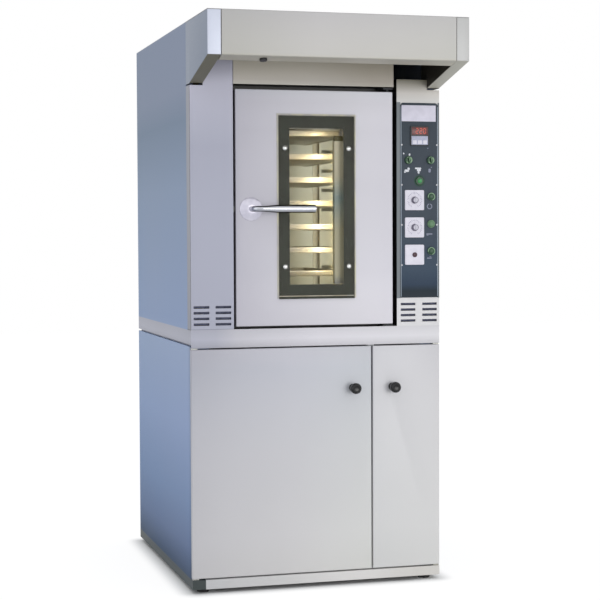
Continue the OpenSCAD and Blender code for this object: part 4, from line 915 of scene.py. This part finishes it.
housing = folded_sheet("lamp_housing", "z", 1106, 1626,
                       [(110, 50), (110, 28.2), (73, 28.2), (73, 50)], 2.0, 1.0)
hand_over(housing, lamp_housing_paint_and_shade, "lamp", "oven_door", "door_lamp")
tube = block("lamp_tube", (77, 31, 1136), (106, 51.5, 1600))
round_edges(tube, lambda m, d: abs(d.z) > 0.9, 9, 5)
soften(tube, 1.5)
hand_over(tube, opal_tube, "lamp", "oven_door")
hand_over(block("lamp_holder", (76, 31, 1604), (107, 50, 1645), 2.5, 3), brown_ceramic, "lamp", "oven_door")

# %% [markdown]
# ## The trays
# A baking tray is pressed from one sheet: rounded corners, sides that lean a little, and a rim that is
# rolled outward so that it is stiff and not sharp. One tray is pressed from a block and then copied
# until there are eight, each copy with its own mesh.

# %% Press one tray, copy it
TRAY_Z, TRAY_STEP, TRAY_DEEP = 1043, 87, 19.8


def press_tray(name, z):
    top, middle = mm(z + TRAY_DEEP), at(-25, 460, z)
    tray = block(name, (-225 + 2.8, 162.6, z), (175 - 2.8, 757.4, z + TRAY_DEEP))
    pick(tray, "FACE", lambda m, n: n.z < -0.9)
    bpy.ops.transform.resize(value=(0.984, 0.989, 1), center_override=middle)
    object_mode()
    round_edges(tray, lambda m, d: abs(d.z) > 0.9, 16, 5)
    round_edges(tray, lambda m, d: abs(m.z - mm(z)) < 1e-5, 4)
    drop_faces(tray, lambda m, n: n.z > 0.9)
    pick(tray, "EDGE", lambda m, d: abs(m.z - top) < 1e-5 and abs(d.z) < 0.1)
    for wider, lower in ((1.0095, 0), (1.0008, 2.6)):
        draw_out((0, 0, -mm(lower)))
        bpy.ops.transform.resize(value=(wider, 1 + (wider - 1) * 0.66, 1), center_override=middle)
    object_mode()
    give_thickness(tray, 1.0)
    return tray


first_tray = press_tray("tray_1", TRAY_Z)
trays = [first_tray] + [copy_to(first_tray, f"tray_{i + 1}", (0, 0, mm(TRAY_STEP * i))) for i in range(1, 8)]
hand_over(first_tray, tray_steel, "tray_metal", "rack", "trays")
for tray in trays[1:]:
    hand_over(tray, tray_steel, "tray_metal", "rack")

# %% [markdown]
# ## The lever handle
# The lever is one bent bar: a round neck leaves the rose, turns through a right angle, grows into a
# thicker grip and ends flat. The bar is drawn from a disc, the elbow is spun, and the grip is drawn out
# again with a wider end. Its finish is plated and carries a painted reflection: a dark line along its
# top and its underside.

# %% Lever and rose
ELBOW_X, ELBOW_Y = -217.5, -34
lever = turned("door_lever", (LEVER_X, -14.3, LEVER_Z), OUT, [(-40, 8), (0, 8), (0.01, 10), (19.7, 10)], 40)
elbow = at(ELBOW_X, ELBOW_Y, LEVER_Z)
pick(lever, "FACE", lambda m, n: n.y < -0.9 and abs(m.y - elbow.y) < 2e-4)
bpy.ops.mesh.spin(steps=10, angle=math.radians(-90), center=elbow, axis=UP)
object_mode()
end_x = max(v.co.x for v in lever.data.vertices)
print("elbow ends at x =", round(end_x * 1000, 2), "mm")
pick(lever, "FACE", lambda m, n: abs(n.x) > 0.9 and abs(m.x - end_x) < 1e-4)
grip_x, grip_r = ELBOW_X, 10.0
for x, r in ((-200, 11.2), (-183, 13.0), (-167.5, 14.3), (-29, 14.5), (-26.6, 14.3), (-25.6, 13.2)):
    draw_out((mm(x - grip_x), 0, 0))
    bpy.ops.transform.resize(value=(r / grip_r,) * 3, center_override=at(x, -64, LEVER_Z))
    grip_x, grip_r = x, r
close_up(weld=True)
hand_over(lever, chrome, "chrome", "door_handle", "handle_lever")

rose_metal = flecked("rose metal", (226, 223, 236), (214, 211, 226), 60, (0.2, 0.3), 0.35, 0.02)
rose = turned("handle_rose_cap", (LEVER_X, -0.05, LEVER_Z), OUT,
              [(0, 42), (2.6, 42), (3.2, 41.4), (4.6, 39.6), (7.0, 35.6), (9.4, 30.2), (11.6, 24.2),
               (13.2, 17.6), (13.95, 12.5), (13.95, 10.6)], 64)
bore(rose, (LEVER_X, -7, LEVER_Z), BACK, 40, 16.2, 40)
hand_over(rose, rose_metal, "chrome", "oven_door", "handle_rose")

# %% [markdown]
# ## Cabinet knobs
# The knobs are turned from black plastic: a foot, a waist and a mushroom head with a shallow dish. The
# dish catches the light as a pale ring, which is how such a knob shows up in a small picture.

# %% Turn two knobs
for side_name, x in (("wide", WIDE_KNOB_X), ("narrow", NARROW_KNOB_X)):
    knob = turned("knob", (x, -0.05, KNOB_Z), OUT,
                  [(0, 14.8), (3.6, 14.8), (5, 14.0), (8, 11), (23.5, 11), (27, 14.5), (30, 19.2), (32, 20),
                   (41, 20), (44, 19.2), (47, 16.8), (49, 14.4), (49.8, 12.6), (48.6, 10.8), (48.0, 4)])
    screw = turned("knob_screw", (x, -0.2, KNOB_Z), BACK, [(0, 3.8), (1.6, 3.8), (1.6, 8), (7.4, 8)], 24)
    hand_over(join(f"{side_name}_knob", [knob, screw]), knob_black, "knob_black", f"{side_name}_door",
              f"{side_name}_door_knob")

# %% [markdown]
# ## Blades behind the air slots
# The slots at the foot of both columns would show the wool behind them. Pressed louvres have a tongue
# that hangs behind each slot, so air passes but water doesn't. Each tongue is one short folded sheet.

# %% Louvre tongues
SLOT_Z, SLOT_STEP = 967, 20.4
# The tongues' dark blue-grey is painted shade behind the slots.
louvre_tongue_shade = flecked("louvre shade", (96, 99, 122), (72, 74, 94), 90, (0.5, 0.6), 0.1)
for side_name, spans in (("left", ((-461, -402), (-381, -322))), ("right", ((318, 377), (402, 461)))):
    tongues = []
    for x0, x1 in spans:
        for z in (SLOT_Z + SLOT_STEP * row for row in range(4)):
            path = [(1.7, z + 10.5), (5.5, z + 8), (8.5, z - 3)]
            tongues.append(folded_sheet("tongue", "x", x0, x1, path, 1.2, 0.8))
    hand_over(join(f"{side_name}_louvre_tongues", tongues), louvre_tongue_shade, "grey_paint", "oven")

# %% [markdown]
# ## The control panel
# The panel is a slate-grey plate with two round upper corners. It is darkest where the dials are and
# bluer on its bare lower part, with a faint green glow painted round the pilot lamp, and a thin light line
# runs down each side where the plate's edge is bare. Small screws hold it. A plain white plate at the
# top is left empty.

# %% Plate, edge lines and screws
PILOT_X, PILOT_Z = 391, 1482
f = Finish("panel slate", 0.5)
f.set("Specular IOR Level", 0.25)
slate = f.shades(UP, [(1.052, 45, 53, 61), (1.077, 38, 49, 57), (1.1, 51, 66, 85), (1.155, 64, 79, 96),
                      (1.33, 67, 76, 87), (1.768, 61, 70, 79)])
# The halo is painted light: a green tint on the plate round the pilot lamp.
from_pilot = f.add("VectorMath", {0: f.place, 1: at(PILOT_X, -3, PILOT_Z)}, "Value", operation="DISTANCE")
halo = f.add("MapRange", {"Value": from_pilot, "From Min": mm(26), "From Max": mm(12)}, "Result",
             interpolation_type="SMOOTHSTEP")
specks = f.noise(160, 2.0)
f.marked(f.mix(halo, slate, tint(30, 72, 44)), specks, (0.92, 0.92, 0.93))
f.gloss(specks, 0.45, 0.58)
f.bump(specks, 0.03, 0.2)
panel_slate = f.material
bare_edge = brushed_steel("bare panel edge", (150, 160, 172), (128, 138, 150), "z", 0.4, 0.4)
screw_steel = brushed_steel("screw steel", (206, 208, 212), (176, 176, 180), "x", 0.3, 0.7)

plate = block("control_plate", (318, -3, 1052), (464, 0, 1768))
round_edges(plate, lambda m, d: abs(d.y) > 0.9 and m.z > 1.7, 12, 8)
soften(plate, 0.6)
hand_over(plate, panel_slate, "panel_slate", "oven", "control_panel")
edges = [block("edge_strip", (x0, -3.6, 1056), (x0 + 3, -2.95, 1754), 0.25) for x0 in (318.3, 460.7)]
hand_over(join("panel_edge_lines", edges), bare_edge, "panel_slate", "oven")
screws = [turned("screw", (x, -2.95, z), OUT, [(0, 3.4), (1.0, 3.4), (1.6, 2.9), (1.9, 2.0), (1.4, 1.4)], 20)
          for x in (322.5, 459.5) for z in (1172, 1320, 1467, 1614)]
hand_over(join("panel_screws", screws), screw_steel, "zinc", "oven")

# %% [markdown]
# ## The square instruments
# Digital controller and timers have a square front of nearly the same size. Each front is a low block
# with rounded edges. The controller has a dark window with lit digits over a pale field with keys. A
# timer has a white face with a ring of ticks, which helps the cook to set it.

# %% Instrument finishes
instrument_black = flecked("instrument black", (30, 31, 34), (44, 45, 49), 300, (0.3, 0.4), depth=0.03)
dial_white = flecked("dial white", (228, 225, 236), (220, 217, 229), 50, (0.4, 0.5), depth=0.02)
plate_white = flecked("bare plate white", (222, 219, 234), (214, 211, 226), 40, (0.4, 0.5), depth=0.01)
print_grey = flecked("dial print", (166, 160, 182), (150, 146, 170), 200, (0.4, 0.5), depth=0.01)
label_white = flecked("label white", (226, 228, 234), (205, 208, 216), 260, (0.4, 0.5), depth=0.01)
key_field = flecked("key field", (186, 188, 208), (172, 176, 200), 120, (0.35, 0.45), depth=0.02)
knob_grey = flecked("timer knob grey", (206, 204, 214), (190, 188, 200), 160, (0.35, 0.45), 0.05, 0.03)
# The cap is the face's grey plastic, painted darker as shade on the skirt.
knob_skirt_shade = flecked("timer knob shade", (118, 113, 130), (98, 94, 112), 160, (0.35, 0.45))
red_button = flecked("red button", (72, 34, 46), (54, 24, 34), 160, (0.3, 0.4))
display_window = flecked("display window", (112, 58, 56), (92, 48, 50), 60, (0.2, 0.3))


def lit(name, colour, strength):
    f = Finish(name, 0.3)
    shades = f.ramp(f.noise(160, 2.0), [(0.3, tuple(c * 0.8 for c in colour[:3]) + (1,)), (0.7, colour)])
    f.colour(shades)
    f.set("Emission Color", shades)
    f.set("Emission Strength", strength)
    return f.material


red_digits = lit("red digits", tint(206, 74, 48), 0.35)
green_glow = lit("pilot green", tint(66, 150, 86), 0.12)
green_lens = flecked("green lens", (34, 66, 46), (44, 84, 56), 240, (0.3, 0.4), depth=0.05)
flat_lens = flecked("pale green lens", (98, 136, 98), (88, 122, 92), 200, (0.35, 0.45), depth=0.05)
pale_ring = flecked("pale green ring", (150, 182, 146), (124, 160, 124), 200, (0.4, 0.5))
mark_grey = flecked("grey mark", (136, 140, 160), (118, 124, 144), 200, (0.4, 0.5), depth=0.01)


# %% Temperature controller
def instrument_front(name, x, z, side, finish, slot, *node):
    front = block(name, (x - side / 2, -8, z - side / 2), (x + side / 2, -3.02, z + side / 2))
    round_edges(front, lambda m, d: abs(d.y) > 0.9, 4.0, 4)
    round_edges(front, lambda m, d: m.y < at(0, -7.9, 0).y, 1.2)
    hand_over(front, finish, slot, "oven", *node)


instrument_front("controller_bezel", 391, 1647, 72, instrument_black, "instrument_black",
                 "temperature_controller")
hand_over(block("controller_window", (360, -8.4, 1651), (422, -7.9, 1679), 0.2), display_window,
          "instrument_black", "oven")
hand_over(block("controller_keys_field", (359, -8.5, 1614.5), (423, -7.9, 1646), 0.25), key_field,
          "instrument_black", "oven")
keys = [block("key", (x, -9.8, 1617), (x + 16, -8.4, 1631), 0.5, corner=2.5) for x in (363, 383, 403)]
hand_over(join("controller_keys", keys), dial_white, "dial_white", "oven")

# %% [markdown]
# ## Lit digits
# A digit on such a controller is made of seven bars. Which bars are lit for which digit is a small
# table. Each bar is a thin block that stands a hair in front of the dark window.

# %% Seven-bar digits
FLAT, UPRIGHT = (7, 2.2), (2.2, 7)
BARS = {"top": (0, 9, *FLAT), "middle": (0, 0, *FLAT), "bottom": (0, -9, *FLAT),
        "upper_left": (-4.4, 4.5, *UPRIGHT), "upper_right": (4.4, 4.5, *UPRIGHT),
        "lower_left": (-4.4, -4.5, *UPRIGHT), "lower_right": (4.4, -4.5, *UPRIGHT)}
LIT = {"2": ("top", "upper_right", "middle", "lower_left", "bottom"),
       "0": ("top", "upper_left", "upper_right", "lower_left", "lower_right", "bottom")}
bars = []
for place, digit in enumerate("220"):
    for bar in LIT[digit]:
        dx, dz, wide, tall = BARS[bar]
        x, z = 380.5 + place * 14.5 + dx, 1665 + dz
        bars.append(block("bar", (x - wide / 2, -8.75, z - tall / 2), (x + wide / 2, -8.35, z + tall / 2),
                          0.12, 1))
hand_over(join("display_digits", bars), red_digits, "instrument_black", "oven")

# %% Timers with their scales
DIAL_X, DIAL_Z, DIAL_STEP = 371, 1411, 100.5


def scale_ring(name, x, z, radius, ticks, y=-8.25):
    """Ticks over 300 degrees, with every third one longer."""
    parts = []
    for i in range(ticks):
        long = 6.4 if i % 3 == 0 else 4.4
        tick = block("tick", (x - 0.8, y, z + radius - long), (x + 0.8, y + 0.3, z + radius))
        swing(tick, x, z, math.radians(-150 + 300 * i / (ticks - 1)))
        parts.append(tick)
    return join(name, parts)


for i, name in enumerate(("upper", "lower", "button")):
    z = DIAL_Z - DIAL_STEP * i
    stands_for = ["dial_plates"] if i == 0 else []
    instrument_front(f"{name}_dial_plate", DIAL_X, z, 74, dial_white, "dial_white", *stands_for)
    if i < 2:
        hand_over(scale_ring(f"{name}_dial_scale", DIAL_X, z, 29, 25), print_grey, "dial_white", "oven")
button = turned("start_button", (DIAL_X, -7.95, 1210), OUT, [(0, 9), (2.2, 9), (3.2, 8.4), (3.8, 7)], 32)
hand_over(button, red_button, "green", "oven")


# %% [markdown]
# ## Knobs, selectors and lamps
# A timer knob is a turned cap with a raised pointer, painted darker round the face where the skirt is, as
# shade.
# The selectors and the round lamps share one size of bezel. Their lenses are dark green and a pale
# ring, open at one side, shows their printed marks.

# %% Timer knobs
def timer_knob(name, z):
    knob = turned(f"{name}_cap", (DIAL_X, -8.35, z), OUT,
                  [(0, 13), (2, 13), (3, 12.4), (9.5, 11.6), (11, 10.6), (11.4, 9.2)])
    hand_over(knob, knob_skirt_shade, "knob_grey", name, f"{name}_knob")
    face = turned("face", (DIAL_X, -19.6, z), OUT, [(0, 8.8), (0.9, 8.8), (1.4, 8.2)], 40)
    pointer = block("pointer", (DIAL_X - 1.8, -23.2, z - 8), (DIAL_X + 1.8, -20.5, z + 11.5), 0.8)
    shaft = turned("shaft", (DIAL_X, -8.3, z), BACK, [(0, 2.9), (17.5, 2.9)], 24)
    hand_over(join(f"{name}_face", [face, pointer, shaft]), knob_grey, "knob_grey", name)


timer_knob("upper_timer", DIAL_Z)
timer_knob("lower_timer", DIAL_Z - DIAL_STEP)


# %% Selectors
def open_ring(name, x, z, y, radius, width, gap, turn):
    """A flat ring with an opening, spun from a short bar."""
    bar = block(name, (x + radius - width / 2, y, z - 0.05), (x + radius + width / 2, y + 0.5, z + 0.05))
    drop_faces(bar, lambda m, n: abs(n.z) > 0.9)
    pick(bar, "EDGE", lambda m, d: m.z > mm(z) + 1e-6 and abs(d.z) < 0.5)
    bpy.ops.mesh.spin(steps=40, angle=math.radians(360 - gap), center=at(x, y, z), axis=BACK)
    close_up(weld=True)
    swing(bar, x, z, -math.radians(turn + gap / 2))
    return bar


def selector(name, x, z=1558):
    head = turned("head", (x, -3.35, z), OUT, [(0, 14.5), (5.5, 14.5), (7.2, 13.6), (7.9, 12.2)], 40)
    shank = turned("shank", (x, -3.3, z), BACK, [(0, 10.8), (38, 10.8)], 24)
    grip = block("grip", (x - 2.8, -20.5, z - 11.5), (x + 2.8, -11.1, z + 11.5), 1.2, 3)
    hand_over(join(f"{name}_head", [head, shank, grip]), green_lens, "green", name, name)
    ring = open_ring("ring", x, z, -11.75, 10.6, 4.2, 90, 170)
    line = block("line", (x - 1.1, -20.9, z - 2), (x + 1.1, -20.45, z + 10.6))
    hand_over(join(f"{name}_marks", [ring, line]), pale_ring, "green", name)


selector("left_selector", 348)
selector("right_selector", 434)

# %% Signal lamps
LAMP_X = 436.5
lenses, rings = [], []
for i in range(3):
    z = 1424 - DIAL_STEP * i
    lens = turned("lens", (LAMP_X, -3.05, z), OUT,
                  [(0, 14.5), (4.2, 14.5), (5, 13.8), (5, 12), (8.4, 10.6), (10.2, 7.6), (10.8, 4)], 40)
    if i == 1:
        hand_over(named(lens, "middle_lamp_lens"), flat_lens, "green", "oven")
    else:
        lenses.append(lens)
        rings.append(open_ring("ring", LAMP_X, z, -9.2, 12.2, 3.6, 90, 240))
hand_over(join("lamp_lenses", lenses), green_lens, "green", "oven", "signal_lamps")
hand_over(join("lamp_rings", rings), pale_ring, "green", "oven")
bezel = turned("pilot_bezel", (PILOT_X, -3.05, PILOT_Z), OUT, [(0, 14.5), (4.2, 14.5), (5, 13.6), (5, 9)], 40)
hand_over(bezel, green_lens, "green", "oven")
pilot = turned("pilot_lens", (PILOT_X, -7.9, PILOT_Z), OUT,
               [(0, 8.6), (2.4, 8.2), (4.4, 6.4), (5.4, 3.6)], 36)
hand_over(pilot, green_glow, "green", "oven")

# %% [markdown]
# ## Bare plate and plain marks
# The plate at the top stays bare. The marks beside the controls are plain generic shapes: bars, dots
# and a ring.

# %% White plate and marks
name_plate = block("bare_name_plate", (322, -4.4, 1700), (455, -2.95, 1759), 0.3, corner=1.5)
hand_over(name_plate, plate_white, "dial_white", "oven")


def panel_marks(name, finish, marks, places):
    """Flat printed marks, each given as x, z, width and height, beside those that are there."""
    marks += [block("mark", (x - wide / 2, -3.35, z - tall / 2), (x + wide / 2, -2.98, z + tall / 2),
                    corner=min(wide, tall) * 0.35) for x, z, wide, tall in places]
    hand_over(join(name, marks), finish, "dial_white", "oven")


panel_marks("white_marks", label_white, [],
            ((342, 1519, 17, 9), (349, 1526, 9, 9), (335, 1514, 7, 5), (386, 1528, 24, 5.5),
             (389, 1521.5, 15, 8), (388, 1513, 7, 9), (330, 1582, 5, 6), (353, 1578, 6, 8)))
panel_marks("grey_marks", mark_grey, [open_ring("mark_ring", 431, 1388, -3.35, 8.8, 3.2, 24, 90)],
            ((431, 1520, 9, 14), (438, 1532, 4, 4), (430, 1286.2, 24, 4), (423, 1282, 8, 3),
             (430, 1197, 18, 4), (434, 1202, 7, 3), (424, 1602, 5, 3)))

# %% [markdown]
# ## Floor, background and light
# A studio paper floor is pale and keeps the oven's soft shadow. The camera sees the background as white
# by a Light Path switch, and so do mirror and glass rays, while the oven itself is lit by a plain grey
# world, two large soft lamps and a small one in the chamber. Nothing is overexposed: a colour renders
# about as it was written.

# %% Which ray looks, and how far a point of the floor lies from the oven
def any_ray(tree, *kinds):
    """1 for rays of these kinds: the camera's own, those off a gloss and those through glass."""
    seen = 0.0
    for kind in kinds:
        ray = wire(tree, "LightPath", out=f"Is {kind} Ray")
        seen = wire(tree, "Math", {0: seen, 1: ray}, operation="MAXIMUM")
    return seen


def away_from_oven(f):
    """0 under the oven, rising to 0.8 a hand's width outside it, from the floor's own coordinates."""
    place = f.place
    for job, vector in (("SUBTRACT", (0, at(0, 535, 0).y, 0)), ("ABSOLUTE", (0, 0, 0)),
                        ("SUBTRACT", (0.45, 0.515, 1)), ("MAXIMUM", (0, 0, 0))):
        place = f.add("VectorMath", {0: place, 1: vector}, operation=job)
    far = f.add("VectorMath", {0: place}, "Value", operation="LENGTH")
    return f.add("MapRange", {"Value": far, "From Max": 0.09, "To Max": 0.8}, "Result",
                 interpolation_type="SMOOTHSTEP")


# %% Floor
deselect_all()
bpy.ops.mesh.primitive_plane_add(size=30, location=(0, 0, -0.0005))
floor = named(bpy.context.object, "studio_floor")
f = Finish("studio paper", 0.9)
f.colour((0.8, 0.8, 0.8, 1))
f.set("Specular IOR Level", 0.1)
seen = any_ray(f.tree, "Camera", "Transmission")
# Under the oven and a hand's width round it the white glow fades out: a painted shadow zone, in which the
# floor's real shadow shows.
share = f.add("Math", {0: seen, 1: away_from_oven(f)}, operation="MULTIPLY")
white = f.add("Emission", {"Strength": 1.12})
blend = f.add("MixShader", {0: share, 1: f.shader.outputs[0], 2: white})
feed(f.tree, f.tree.nodes["Material Output"].inputs["Surface"], blend)
floor.data.materials.append(f.material)

# %% World
world = bpy.data.worlds.new("studio")
bpy.context.scene.world = world
world.use_nodes = True
tree = world.node_tree
tree.nodes.clear()
soft = wire(tree, "Background", {"Color": (0.96, 0.98, 1.0, 1), "Strength": 0.84})
white = wire(tree, "Background", {"Color": WHITE})
blend = wire(tree, "MixShader", {0: any_ray(tree, "Camera", "Glossy", "Transmission"), 1: soft, 2: white})
feed(tree, tree.nodes.new("ShaderNodeOutputWorld").inputs["Surface"], blend)


# %% Soft lamps
def soft_lamp(name, place, target, size, watts, colour):
    bpy.ops.object.light_add(type="AREA", location=place)
    lamp = bpy.context.object
    lamp.name = name
    lamp.data.size = size
    lamp.data.energy = watts
    lamp.data.color = colour
    lamp.rotation_euler = (Vector(target) - Vector(place)).to_track_quat("-Z", "Y").to_euler()
    return lamp


soft_lamp("front_window", (2.2, -7.4, 0.9), (0, 0, 0.95), 4.4, 158, (1.0, 0.985, 0.97))
soft_lamp("left_window", (-5.5, -1.6, 1.0), (0, 0, 1.0), 3.0, 16, (0.82, 0.9, 1.0))
chamber_light = soft_lamp("chamber_light", at(255, 590, 1385), at(235, 840, 1385), 0.14, 0.6,
                          (0.95, 0.98, 0.87))
chamber_light.data.shape, chamber_light.data.size_y = "RECTANGLE", 0.74
chamber_light.visible_camera = False
